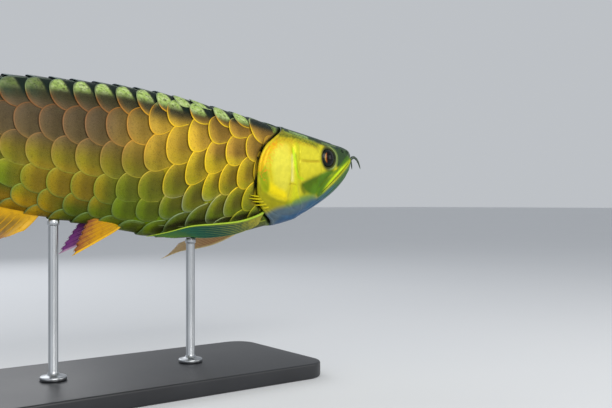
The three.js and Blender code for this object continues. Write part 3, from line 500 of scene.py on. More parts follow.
@dataclass(frozen=True)
class Markings:
    """The fish's colours, some of them painted light and shade, the same for skin and scales."""

    down_the_side: tuple[tuple[float, str], ...] = (
        # the grey-blue stops at the back's midline are a painted highlight along the top edge
        (0.0, "606e80"), (0.05, "4a5a5c"), (0.09, "1d2a22"), (0.17, "1c2219"), (0.22, "2b2b1e"),
        (0.27, "4a3b2a"), (0.33, "705638"), (0.44, "866a28"), (0.56, "887c12"), (0.68, "78840a"),
        (0.77, "667c04"), (0.86, "627e04"), (1.0, "687c02"),
    )
    body: tuple[Wash, ...] = (
        Wash("483c30", 0.8, band_of((232, 300, 430, 490), (0.2, 0.29, 0.44, 0.58))),
        Wash("a4860a", 0.85, band_of((268, 296, 335, 365), (0.56, 0.66, 0.8, 0.9))),
        Wash("d8b02a", 0.92, band_of((80, 100, 206, 290), (0.21, 0.31, 0.44, 0.58))),
        Wash("a87e2c", 0.8, band_of((80, 100, 168, 215), (0.168, 0.235, 0.4, 0.5))),
        Wash("bca80e", 0.9, band_of((80, 100, 172, 262), (0.4, 0.48, 0.55, 0.68))),
        Wash("c4a80c", 0.7, band_of((80, 100, 172, 205), (0.42, 0.52, 0.62, 0.7))),
        Wash("8a8c04", 0.75, band_of((80, 100, 195, 262), (0.56, 0.64, 0.72, 0.82))),
        Wash("a6a40a", 0.6, band_of((80, 100, 142, 162), (0.56, 0.62, 0.69, 0.77))),
        Wash("c49a02", 0.92, band_of((306, 336, 440, 470), (0.8, 0.9, 1.1, 1.2))),
        Wash("a87c1c", 0.5, band_of((440, 480, 560, 600), (0.1, 0.3, 0.8, 1.0))),
        # painted shadow: a dark line along the near pectoral fin's leading edge, where the fin meets the body
        Wash("121a06", 0.9, line_of(((118, -3), (130, -8), (147, -12), (175, -15), (200, -16.5), (222, -21),
            (238, -25)), 2.6)),
        Wash("e8c800", 0.8, line_of(((122, 2), (130, 3), (138, 4.6)), 4.2)),
        Wash("88a03a", 0.75, speckled(band_of((96, 104, 124, 134), (0.06, 0.1, 0.2, 0.27)), 0.1)),
        # painted shade: dark blue-green over the upper back towards the tail
        Wash("103028", 0.75, band_of((315, 345, 540, 600), (0.04, 0.08, 0.17, 0.24))),
    )
    rims: tuple[tuple[float, str], ...] = (
        # the lavender-grey stops at the back's midline are a painted highlight along the top edge
        (0.0, "8a96ac"), (0.06, "84967e"), (0.15, "a9bf7c"), (0.2, "9a602c"), (0.3, "9c6836"),
        (0.4, "9c7048"), (0.52, "a07c42"), (0.64, "989434"), (0.76, "7f9030"), (0.87, "6c8446"),
        (1.0, "5f7c50"),
    )
    rim_washes: tuple[Wash, ...] = (
        Wash("dc9228", 0.85, band_of((150, 180, 240, 300), (0.16, 0.22, 0.4, 0.55))),
        Wash("e8c424", 0.95, band_of((80, 100, 200, 275), (0.16, 0.24, 0.66, 0.82))),
        Wash("b8b41c", 0.7, band_of((80, 100, 180, 250), (0.6, 0.72, 0.84, 0.95))),
        Wash("6f8a86", 0.6, band_of((152, 172, 215, 240), (0.64, 0.72, 0.84, 0.93))),
    )
    head: tuple[Wash, ...] = (
        Wash("c9c026", 1.0, lambda back, share, up: np.ones_like(back)),
        Wash("d4ba1c", 0.6, field_of(((90, 66), (92, 46), (110, 52), (126, 44), (134, 30), (132, 50), (112, 68)), 8)),
        Wash("dcd44c", 0.6, field_of(((98, 57), (110, 56), (117, 48), (117, 30), (112, 18), (102, 13), (97, 20),
            (96, 40)), 8)),
        # painted shade: darker olive under the gill cover's lower edge
        Wash("8f8a08", 0.85, field_of(((136, 22), (127, 15), (117, 9), (104, 4.5), (92, 2.5), (92, -12), (112, -16),
            (136, -6)), 5)),
        Wash("f0d808", 0.85, field_of(((127, 15), (117, 9.5), (104, 5), (96, 4.5), (100, 12), (112, 17),
            (122, 22)), 5)),
        Wash("84960a", 0.9, field_of(((138, 36), (132, 22), (127, 13), (121, 11), (120, 18), (124, 30),
            (128, 38)), 5)),
        Wash("dcb00c", 0.85, field_of(((112, 60), (122, 54), (131, 44), (134, 32), (131, 30), (127, 36), (122, 46),
            (112, 55)), 4)),
        Wash("c4ae08", 0.6, line_of(((117, 57), (121, 46), (120.5, 32), (117, 20)), 1.5)),
        Wash("ccd01a", 0.7, field_of(Place.PREOPERCLE.value, 3)),
        Wash("e8e08c", 0.8, line_of(((92.8, 50), (93, 40), (92.8, 30), (92, 20)), 1.8)),
        Wash("a8cc00", 0.95, line_of(((91.8, 57.5), (90.6, 49), (89.4, 40), (88, 32.5), (85.6, 28), (82, 25.4),
            (75.7, 23.6)), 1.2)),
        Wash("5c7c06", 0.6, line_of(((89.4, 51), (88, 42), (86.6, 34), (84, 29.4)), 0.7)),
        Wash("a08a14", 0.6, line_of(((97.4, 19.4), (92, 19.8), (86.6, 18.9)), 0.8)),
        Wash("b0941a", 0.7, line_of(((54, 42.6), (62, 42.4), (72, 42.2), (83, 42.8)), 1.0)),
        Wash("9c9a1c", 0.5, line_of(((83.4, 60), (83.8, 48), (83.6, 32), (82, 21)), 0.9)),
        Wash("ac881a", 0.7, speckled(line_of(((118, 60), (108, 62.5), (94, 62), (80, 60.5), (66, 58.5),
            (54, 55)), 2.8), 0.35)),
        Wash("5f6c14", 0.95, speckled(line_of(((112, 67), (100.5, 66.5), (88.3, 65.4), (80.3, 63.8), (71, 61.4),
            (60, 59), (51, 57)), 2.2), 0.6)),
        Wash("3d6206", 0.95, field_of((
            (52, 31), (65, 27.4), (78.6, 20.6), (76.5, 14.5), (72.6, 11.6), (61.5, 8.2), (52.8, 11.3), (45, 20), (38,
                29),
            (34, 34), (40, 36), (46, 34)), 7)),
        Wash("5a8a1c", 0.5, field_of(((60, 20), (66, 15), (64, 10), (56, 10), (52, 15)), 6)),
        Wash("3c5206", 0.6, line_of(((77, 21), (78, 17), (76, 13), (72, 9)), 2.2)),
        Wash("8a9c14", 0.8, field_of(((62, 9), (76, 9), (90, 3), (96, 1), (96, -8), (76, -8), (58, 0)), 5)),
        Wash("50805c", 0.7, field_of(((56, 8), (66, 8.4), (78, 6), (88, 1.5), (84, -4), (70, -2), (56, 2)), 5)),
        # painted reflection of blue light: the grey-blue, blue and dark blue-green washes on the throat and under the
        # lower jaw
        Wash("4c6274", 0.95, field_of(((58, 5), (66, 3.5), (80, 0.5), (94, -2), (106, -4), (116, -8), (124, -12),
            (124, -40), (40, -40), (44, 0)), 7)),
        Wash("215480", 0.92, field_of(((20, 21), (34, 12), (46, 7), (58, 1.5), (70, -4.5), (86, -10.5), (100, -15),
            (100, -40), (0, -30), (0, 20)), 8)),
        Wash("1c4650", 0.9, field_of(((-4, 38), (2, 36), (18, 22), (34, 8), (46, 1), (52, -4), (40, -8),
            (0, 20)), 4)),
        Wash("2c5e40", 0.95, field_of(((-2, 46), (10, 38), (26, 25), (40, 14), (44, 9), (40, 6), (30, 12), (14, 25),
            (0, 38)), 3)),
        Wash("3f6a2c", 0.9, field_of(Place.LOWER_LIP.value, 2.4)),
        # painted reflection of blue light under the lower lip
        Wash("2a5c7c", 0.7, field_of(((36, 18), (50, 9.6), (56, 5), (66, 0), (60, -6), (46, 2), (30, 18)), 7)),
        Wash("1f4028", 0.97, field_of(((-4, 50), (6, 46.5), (14, 43.5), (24, 39), (31, 38.5), (34, 50), (36, 66),
            (-4, 66)), 4)),
        Wash("48701a", 0.95, field_of(Place.MAXILLA.value, 2.2)),
        Wash("b8d008", 0.97, line_of(((1.5, 50.5), (5, 47.6), (11, 43.8), (25, 35.4), (34, 28.6), (41, 21.8),
            (46.5, 15.4), (50.5, 11.5)), 1.9)),
        Wash("4f7618", 0.8, field_of(Place.CHEEK_FRONT.value, 3)),
        Wash("14241f", 0.92, lambda back, share, up: smooth(gap_to(EYE_SPOT, back, up, 1.06), 14.2, 10.8)),
        Wash("1c3230", 0.95, field_of((
            (24, 58), (34, 58), (46, 58.5), (58, 61), (68, 63), (80, 65), (90, 67.5), (98, 71), (106, 75.5), (120,
                84),
            (120, 100), (20, 80)), 2.6)),
        Wash("1e362a", 0.9, lambda back, share, up: smooth(share, 0.24, 0.15) * smooth(back, 5, 16) * smooth(back,
            122, 108)),
        Wash("a4bc68", 0.75, ring_of(11.6, 1.2, 0.5, (47, 36))),
        Wash("93ac4c", 0.5, ring_of(13.8, 1.0, 0.4, (36, 32))),
        # painted highlight: pale lines, broken into specks, along the skull's edge ridges
        Wash("a9c878", 0.8, speckled(line_of(((66, 65.4), (76, 67.8), (84, 69.4), (92, 71.5)), 1.3), 0.5)),
        Wash("a4b43c", 0.8, speckled(line_of(((56, 61.4), (68, 63.6), (80, 66), (92, 68.6), (102, 72)), 1.0), 0.5)),
        Wash("86a05a", 0.55, line_of(((26, 59.5), (38, 60), (52, 62)), 0.9)),
        Wash("16210c", 0.95, line_of(MOUTH_LINE, 0.7)),
        Wash("0c1614", 0.95, lambda back, share, up: sum(
            smooth(gap_to(spot, back, up, NOSTRIL_STRETCH), 1.9, 1.0) for spot in NOSTRIL_SPOTS)),
    )
    gill_shadow: str = "0e170c"
    past_gill: float = 0.8

    def paint(self, back: Points, girth: Points, up: Points, groove: Points | float = 0.0) -> Points:
        """Colours of places on the fish.

        Args:
            back: distance behind the chin tip.
            girth: place round the body.
            up: height.
            groove: how much of the gill opening's shade lies there.
        Returns: linear colours with an alpha of one.
        """
        share = down_share(girth)
        colour = self._washed(self._graded(self.down_the_side, share), self.body, back, share, up)
        front = back < Profile(GILL_LINE)(up) + self.past_gill
        if front.any():
            colour[front] = self._washed(colour[front], self.head, back[front], share[front], up[front])
        return self._shaded(colour, np.broadcast_to(groove, back.shape))

    def rim(self, back: Points, girth: Points, up: Points, groove: Points) -> Points:
        """Returns: the colour of a scale's bright margin at each place, as paint gives the scale's own."""
        share = down_share(girth)
        return self._shaded(self._washed(self._graded(self.rims, share), self.rim_washes, back, share, up), groove)

    def _shaded(self, colour: Points, groove: Points) -> Points:
        """Returns: the colours under the gill opening's shade, with an alpha of one."""
        shade = groove[:, None]
        return np.hstack([colour * (1 - shade) + linear(self.gill_shadow) * shade, np.ones((len(colour), 1))])

    @staticmethod
    def _graded(stops: tuple[tuple[float, str], ...], share: Points) -> Points:
        """Returns: colours that run from stop to stop down the side."""
        places = np.array([place for place, _ in stops])
        named = np.array([linear(code) for _, code in stops])
        return np.stack([np.interp(share, places, named[:, c]) for c in range(3)], axis=-1)

    @staticmethod
    def _washed(colour: Points, washes: Sequence[Wash], back: Points, share: Points, up: Points) -> Points:
        """Returns: the colours with each wash laid over them in turn."""
        for wash in washes:
            amount = np.clip(wash.strength * wash.where(back, share, up), 0, 1)[:, None]
            colour = colour * (1 - amount) + linear(wash.colour) * amount
        return colour


# Node work


class Socket:
    """A value in a node tree. Sums, products and quotients of it add their own Math nodes."""

    def __init__(self, bench: Bench, link: Any) -> None:
        """Args: bench: the tree's maker. link: the output that carries the value."""
        self.bench, self.link = bench, link

    def __add__(self, other: Socket | float) -> Socket:
        """Returns: the sum."""
        return self.bench.math("ADD", self, other)

    def __mul__(self, other: Socket | float) -> Socket:
        """Returns: the product."""
        return self.bench.math("MULTIPLY", self, other)

    def __sub__(self, other: Socket | float) -> Socket:
        """Returns: the difference."""
        return self.bench.math("SUBTRACT", self, other)

    def __rsub__(self, other: float) -> Socket:
        """Returns: a number less this value."""
        return self.bench.math("SUBTRACT", other, self)

    def __truediv__(self, other: Socket | float) -> Socket:
        """Returns: the quotient."""
        return self.bench.math("DIVIDE", self, other)

    __radd__, __rmul__ = __add__, __mul__

    def step(self, low: float, high: float) -> Socket:
        """Returns: a soft step from 0 at low to 1 at high; the ends may be swapped."""
        ends = {"Value": self, "From Min": min(low, high), "From Max": max(low, high)}
        rise = self.bench.add("ShaderNodeMapRange", ends, interpolation_type="SMOOTHSTEP")
        return rise if low < high else 1 - rise


class Bench:
    """Adds nodes to a tree."""

    def __init__(self, tree: Any) -> None:
        """Args: tree: the node tree that the nodes go into."""
        self.tree = tree

    def add(self, kind: str, inputs: dict[Any, Any] | None = None, out: Any = 0, **settings: Any) -> Socket:
        """Adds one node.

        Args:
            kind: the node's type.
            inputs: values or links for its sockets, by name or number.
            out: the output that is wanted.
            settings: its properties, set before its sockets.
        Returns: that output.
        """
        node = self.tree.nodes.new(kind)
        for name, value in settings.items():
            setattr(node, name, value)
        for name, value in (inputs or {}).items():
            if isinstance(value, Socket):
                self.tree.links.new(value.link, node.inputs[name])
            else:
                node.inputs[name].default_value = value
        return Socket(self, node.outputs[out])

    def math(self, operation: str, first: Socket | float, second: Socket | float) -> Socket:
        """Returns: the value of one Math node."""
        return self.add("ShaderNodeMath", {0: first, 1: second}, operation=operation)

    def point(self, x: Socket | float, y: Socket | float, z: Socket | float = 0.0) -> Socket:
        """Returns: a vector of three values."""
        return self.add("ShaderNodeCombineXYZ", {"X": x, "Y": y, "Z": z})


class Finish(Bench):
    """A material whose colour, gloss and relief come from nodes."""

    def __init__(self, name: str) -> None:
        """Args: name: the material's name."""
        self.material = bpy.data.materials.new(name)
        self.material.use_nodes = True
        super().__init__(self.material.node_tree)
        self.tree.nodes.clear()

    def coords(self) -> Socket:
        """Returns: the piece's own coordinates in metres."""
        return self.add("ShaderNodeTexCoord", out="Object")

    def read(self, name: str, out: str = "Fac") -> Socket:
        """Returns: an attribute kept on the mesh."""
        return self.add("ShaderNodeAttribute", out=out, attribute_name=name)

    def noise(self, scale: float, detail: float = 2.0, rough: float = 0.5, at: Socket | None = None) -> Socket:
        """Returns: a noise value from 0 to 1 at so many cells a metre."""
        return self.add("ShaderNodeTexNoise", {
            "Vector": at or self.coords(), "Scale": scale, "Detail": detail, "Roughness": rough})

    def cells(self, scale: float) -> Socket:
        """Returns: the distance field of a cell pattern."""
        return self.add("ShaderNodeTexVoronoi", {"Vector": self.coords(), "Scale": scale})

    def wave(self, scale: float, distortion: float, at: Socket) -> Socket:
        """Returns: a banded pattern along the first axis."""
        return self.add("ShaderNodeTexWave", {
            "Vector": at, "Scale": scale, "Distortion": distortion, "Detail": 2.0}, "Fac")

    def mix(self, amount: Socket | float, first: Any, second: Any, blend: str = "MIX") -> Socket:
        """Returns: two colours mixed; a colour is a socket or a web colour."""
        first, second = ((*linear(c).tolist(), 1.0) if isinstance(c, str) else c for c in (first, second))
        return self.add("ShaderNodeMix", {0: amount, 6: first, 7: second}, 2,
                        data_type="RGBA", blend_type=blend, clamp_result=False)

    def tinted(
        self, amount: Socket | float, tone: Socket, code: str, blend: str = "MULTIPLY", base: Socket | None = None
    ) -> Socket:
        """Returns: a tone with its own blend, or a base's, with a web colour mixed over it."""
        return self.mix(amount, tone, self.mix(1.0, base or tone, code, blend))

    def bump(self, height: Socket, strength: float, depth: float) -> Socket:
        """Returns: a normal raised by a height; depth is in metres."""
        return self.add("ShaderNodeBump", {"Strength": strength, "Distance": depth, "Height": height})

    def close(self, **sockets: Any) -> bpy.types.Material:
        """Ends the material in one shader.

        Args:
            sockets: the shader's inputs, with spaces written as underscores.
        Returns: the material.
        """
        named = {name.replace("_", " "): value for name, value in sockets.items()}
        shader = self.add("ShaderNodeBsdfPrincipled", named)
        output = self.tree.nodes.new("ShaderNodeOutputMaterial")
        self.tree.links.new(shader.link, output.inputs["Surface"])
        return self.material


class Recipe(Bench):
    """A Geometry Nodes tree with named inputs that makes one piece's mesh."""

    def __init__(self, name: str, sockets: dict[str, str]) -> None:
        """Args: name: the tree's name. sockets: its inputs, as name and socket type."""
        group = bpy.data.node_groups.new(name, "GeometryNodeTree")
        super().__init__(group)
        group.interface.new_socket("Geometry", in_out="INPUT", socket_type="NodeSocketGeometry")
        group.interface.new_socket("Geometry", in_out="OUTPUT", socket_type="NodeSocketGeometry")
        self.ids: dict[str, str] = {}
        for label, kind in sockets.items():
            self.ids[label] = group.interface.new_socket(label, in_out="INPUT", socket_type=kind).identifier
        self.entry = group.nodes.new("NodeGroupInput")

    def given(self, label: str) -> Socket:
        """Returns: one of the tree's inputs."""
        return Socket(self, self.entry.outputs[label])

    def read(self, name: str, data: str = "FLOAT") -> Socket:
        """Returns: a named attribute as a field."""
        return self.add("GeometryNodeInputNamedAttribute", {"Name": name}, data_type=data)

    def close(self, geometry: Socket) -> None:
        """Ends the tree in realized instances with the given material."""
        real = self.add("GeometryNodeRealizeInstances", {"Geometry": geometry})
        done = self.add("GeometryNodeSetMaterial", {"Geometry": real, "Material": self.given("Material")})
        output = self.tree.nodes.new("NodeGroupOutput")
        self.tree.links.new(done.link, output.inputs[0])

    def make(self, name: str, seed: bpy.types.Object, values: dict[str, Any]) -> bpy.types.Object:
        """Runs the tree on a seed object and keeps the result as a plain mesh.

        Args:
            name: the finished piece's name.
            seed: the object that the tree starts from, which is removed.
            values: the inputs' values by name.
        Returns: the finished piece.
        """
        modifier = seed.modifiers.new(name, "NODES")
        modifier.node_group = self.tree
        for label, value in values.items():
            modifier[self.ids[label]] = value
        seed.update_tag()
        bpy.context.view_layer.update()
        evaluated = seed.evaluated_get(bpy.context.evaluated_depsgraph_get())
        mesh = bpy.data.meshes.new_from_object(evaluated)
        mesh.name = name
        bpy.data.objects.remove(seed)
        return shown(name, mesh)


# Mesh work


def shown(name: str, data: Any) -> bpy.types.Object:
    """Returns: a new object in the scene for a mesh, a light or a camera."""
    piece = bpy.data.objects.new(name, data)
    bpy.context.scene.collection.objects.link(piece)
    return piece


def smoothed(piece: bpy.types.Object) -> bpy.types.Object:
    """Returns: the piece, with its faces shaded smooth."""
    piece.data.polygons.foreach_set("use_smooth", [True] * len(piece.data.polygons))
    piece.data.update()
    return piece


def piece_from(name: str, places: Points, faces: Sequence[Face], edges: Sequence[Face] = ()) -> bpy.types.Object:
    """Makes a smooth-shaded piece.

    Args:
        name: the piece's name.
        places: its points in metres.
        faces: their corners.
        edges: loose edges.
    Returns: the object.
    """
    mesh = bpy.data.meshes.new(name)
    mesh.from_pydata([tuple(p) for p in places], edges, faces)
    return smoothed(shown(name, mesh))


def keep(piece: bpy.types.Object, **kept_values: Points) -> None:
    """Keeps numbers, vectors or colours for each point of a piece.

    Args:
        piece: the object.
        kept_values: the attributes, each one value, or one row of three or four, for each point.
    """
    kinds = {1: ("FLOAT", "value"), 3: ("FLOAT_VECTOR", "vector"), 4: ("FLOAT_COLOR", "color")}
    for name, values in kept_values.items():
        values = np.asarray(values, float)
        kind, slot = kinds[1 if values.ndim == 1 else values.shape[1]]
        piece.data.attributes.new(name, kind, "POINT").data.foreach_set(slot, values.ravel())


def keep_map(piece: bpy.types.Object, name: str, flat: Points) -> None:
    """Keeps a UV map, given by one flat place for each point."""
    layer = piece.data.uv_layers.new(name=name)
    corners = np.empty(len(piece.data.loops), int)
    piece.data.loops.foreach_get("vertex_index", corners)
    layer.data.foreach_set("uv", flat[corners].ravel())


def kept(piece: bpy.types.Object, *names: str) -> Iterator[Points]:
    """Yields: the numbers kept under each name for each point of a piece."""
    for name in names:
        values = np.empty(len(piece.data.vertices))
        piece.data.attributes[name].data.foreach_get("value", values)
        yield values


def ring_faces(rings: int, count: int) -> list[Face]:
    """Returns: the quads between rings of points that each close on themselves."""
    return [
        (i * count + k, i * count + (k + 1) % count, (i + 1) * count + (k + 1) % count, (i + 1) * count + k)
        for i in range(rings - 1) for k in range(count)
    ]


def capped_faces(rings: int, count: int) -> list[Face]:
    """Returns: the faces of rings that end in two flat caps."""
    return ring_faces(rings, count) + [tuple(range(count))[::-1], tuple(range((rings - 1) * count, rings * count))]


def poled_faces(rings: int, count: int) -> list[Face]:
    """Returns: the faces of rings that end in two poles, which are the points after them."""
    pole, last = rings * count, (rings - 1) * count
    front = [(pole, (k + 1) % count, k) for k in range(count)]
    return ring_faces(rings, count) + front + [(pole + 1, last + k, last + (k + 1) % count) for k in range(count)]


def sheet_faces(rows: int, columns: int, start: int = 0) -> list[Face]:
    """Returns: the quads of an open sheet of points."""
    return [
        (at, at + 1, at + columns + 1, at + columns)
        for i in range(rows - 1) for at in range(start + i * columns, start + (i + 1) * columns - 1)
    ]


def settle(
    piece: bpy.types.Object, slot: str, nodes: Sequence[str], finish: bpy.types.Material | None = None
) -> bpy.types.Object:
    """Dresses a piece and ties it to the part.

    Args:
        piece: the object.
        slot: the record's material slot; not used.
        nodes: the solids that it stands for.
        finish: its material, where the piece has none yet.
    Returns: the piece.
    """
    if finish:
        piece.data.materials.append(finish)
    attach(piece, "root")
    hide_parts(*nodes)
    LOG.info("%s: %d faces", piece.name, len(piece.data.polygons))
    return piece


# Finishes


@dataclass(frozen=True)
class SkinFinish:
    """Wet skin over bone, with fine pores and faint mottling."""

    roughness: float = 0.38
    coat: float = 0.05
    metallic: float = 0.2

    def make(self) -> bpy.types.Material:
        """Returns: the material."""
        f = Finish("skin")
        mottle = f.noise(160, 4, 0.6)
        fleck = f.noise(900, 2, 0.7)
        paint = f.read("paint", "Color")
        shade = f.tinted(mottle.step(0.32, 0.7) * 0.16, paint, "6f7a24")
        shade = f.mix(fleck.step(0.62, 0.74) * 0.28, shade, "f2e04a", "SOFT_LIGHT")
        shade = f.mix(f.read("specks") * f.noise(420, 3, 0.6).step(0.52, 0.62), shade, "d98a1c")
        relief = f.noise(700, 4, 0.6) * 0.5 + f.cells(1500) * 0.25 + mottle * 0.4
        return f.close(
            Base_Color=shade, Roughness=mottle * 0.16 + (self.roughness - 0.08), Coat_Weight=self.coat,
            Coat_Roughness=0.2, Specular_IOR_Level=0.12, Metallic=self.metallic,
            Normal=f.bump(relief, 0.35, 0.0004))


@dataclass(frozen=True)
class ScaleFinish:
    """A scale: bright rim, clear margin, fine rays and rings, and a dark root that is partly painted shade; its
    covered front darkens with painted shade from the scale ahead.
    """

    roughness: float = 0.42
    metallic: float = 0.3

    def make(self) -> bpy.types.Material:
        """Returns: the material."""
        f = Finish("scales")
        paint, margin, across = f.read("paint", "Color"), f.read("margin"), f.read("across")
        own = f.read("own")
        uneven, fleck, grain = f.noise(260, 3, 0.6), f.noise(1500, 2, 0.7), f.noise(640, 4, 0.7)
        edge = margin + (uneven - 0.5) * 0.7
        tone = f.mix(1.0, paint, f.mix(own, "cfcfcf", "ffffff"), "MULTIPLY")
        tone = f.mix(edge.step(6.0, 1.0) * 0.26, tone, f.read("rim", "Color"))
        # darker away from the margin: the scale's darker centre, partly painted shade; then painted shade from the
        # scale ahead over the covered front
        tone = f.tinted(edge.step(5.0, 15.0) * f.read("depth"), tone, "6e6430", base=paint)
        tone = f.tinted(f.read("front_shade"), tone, "5c5048", base=paint)
        tone = f.tinted(grain.step(0.5, 0.7) * 0.45, tone, "6c6040")
        tone = f.tinted(grain.step(0.46, 0.3) * 0.25, tone, "e8c060", "SOFT_LIGHT")
        rays = f.wave(8.5, 2.4, f.point(across, margin * 0.012, own))
        tone = f.tinted(rays.step(0.75, 1.0) * 0.14, tone, "f0dc8c", "SCREEN")
        tone = f.tinted(fleck.step(0.6, 0.72) * 0.4, tone, "6a5c40")
        # dark front parts: partly the upper rows' own black-green, partly painted shade from the scale ahead
        tone = f.mix(f.read("black_root"), tone, "14211a")
        cloud = f.noise(420, 4, 0.65)
        patch = f.mix(uneven.step(0.45, 0.62) * 0.6, "a9c468", "d2e0a4")
        tone = f.mix(f.read("top_patch") * (cloud + fleck * 0.2).step(0.34, 0.66), tone, patch)
        rim = edge.step(1.25, 0.8)
        tone = f.mix(rim * 0.85, tone, f.read("rim", "Color"))
        rings = f.wave(0.9, 1.2, f.point(margin, across * 2.0, own))
        relief = rays * 0.5 + rings * 0.35 + f.noise(1100, 3, 0.6) * 0.5 + rim * 0.4
        return f.close(
            Base_Color=tone, Roughness=uneven * 0.22 + (self.roughness - 0.08), Metallic=self.metallic,
            Coat_Weight=0.04, Coat_Roughness=0.25, Specular_IOR_Level=0.08, Normal=f.bump(relief, 0.4, 0.00022))


@dataclass(frozen=True)
class FinFinish:
    """Thin fin skin over jointed rays, each fin with its own root, web, ray and edge colours."""

    name: str
    root: str
    web: str
    ray: str
    edge: str
    lead: str
    clear: float = 0.0

    def make(self) -> bpy.types.Material:
        """Returns: the material."""
        f = Finish(self.name)
        along, across, ray = f.read("along"), f.read("across"), f.read("ray")
        mottle = f.noise(220, 4, 0.6)
        place = along + (mottle - 0.5) * 0.22
        web = f.mix(place.step(0.08, 0.42), self.root, self.web)
        web = f.mix(place.step(0.62, 1.0), web, self.edge)
        ribs = f.mix(place.step(0.1, 0.7), self.root, self.ray)
        ribs = f.mix(place.step(0.75, 1.05) * 0.7, ribs, self.edge)
        tone = f.mix(ray * 0.85, web, ribs)
        tone = f.mix(across.step(0.1, 0.02), tone, self.lead)
        tone = f.tinted(mottle.step(0.5, 0.8) * 0.35, tone, "8a7f74")
        joints = f.wave(1.1, 0.4, f.point(f.read("run"), across * 9.0))
        relief = joints * ray * 0.6 + f.noise(900, 3, 0.6) * 0.35
        alpha = 1 - (1 - ray) * along.step(0.25, 0.8) * self.clear
        return f.close(
            Base_Color=tone, Roughness=mottle * 0.2 + 0.32, Coat_Weight=0.08, Coat_Roughness=0.25,
            Specular_IOR_Level=0.12, Alpha=alpha, Normal=f.bump(relief, 0.5, 0.0003))


@dataclass(frozen=True)
class EyeFinish:
    """A dark pupil in a gold ring, under a clear wet front."""

    pupil: float = 7.9
    iris: float = 6.5

    def make(self) -> bpy.types.Material:
        """Returns: the material."""
        f = Finish("eye")
        spoke, ring = f.read("spoke"), f.read("ring")
        fleck = f.noise(1400, 3, 0.6)
        streak = f.wave(6.0, 3.0, f.point(spoke, ring * 0.03))
        gap = f.read("pupil")
        gold = f.mix(gap.step(self.pupil + 0.6, self.pupil + 2.6), "8a4210", "b89a3c")
        gold = f.mix(streak * 0.4, gold, "3c2c10")
        # the iris darkens at top and bottom: partly its own dark bar, partly painted shade under the brow
        gold = f.mix(f.read("dusk") * 0.92, gold, "101410")
        tone = f.mix((gap + (fleck - 0.5) * 0.3).step(self.pupil - 0.15, self.pupil + 0.15), "020304", gold)
        tone = f.mix(ring.step(self.iris - 0.3, self.iris + 0.3), tone, "0d1512")
        return f.close(
            Base_Color=tone, Roughness=fleck * 0.05 + 0.2, Coat_Weight=0.16, Coat_Roughness=0.1,
            Specular_IOR_Level=0.12, Normal=f.bump(streak * gap.step(self.pupil, self.pupil + 0.6), 0.15, 0.0002))


@dataclass(frozen=True)
class PlainFinish:
    """A made surface or a dark barbel: one tone with fine grain and wear."""

    name: str
    tone: str
    second: str
    roughness: float
    metallic: float = 0.0
    grain: float = 900.0
    stretch: tuple[float, float, float] = (1.0, 1.0, 1.0)
    depth: float = 0.00015

    def make(self) -> bpy.types.Material:
        """Returns: the material."""
        f = Finish(self.name)
        at = f.add("ShaderNodeMapping", {"Vector": f.coords(), "Scale": self.stretch})
        fine = f.noise(self.grain, 4, 0.6, at)
        cloud = f.noise(18, 3, 0.5)
        tone = f.mix(cloud.step(0.3, 0.75) * 0.6 + fine * 0.2, self.tone, self.second)
        return f.close(
            Base_Color=tone, Metallic=self.metallic, Roughness=cloud * 0.1 + fine * 0.12 + (self.roughness - 0.1),
            Normal=f.bump(fine, 0.35, self.depth))


# Pieces


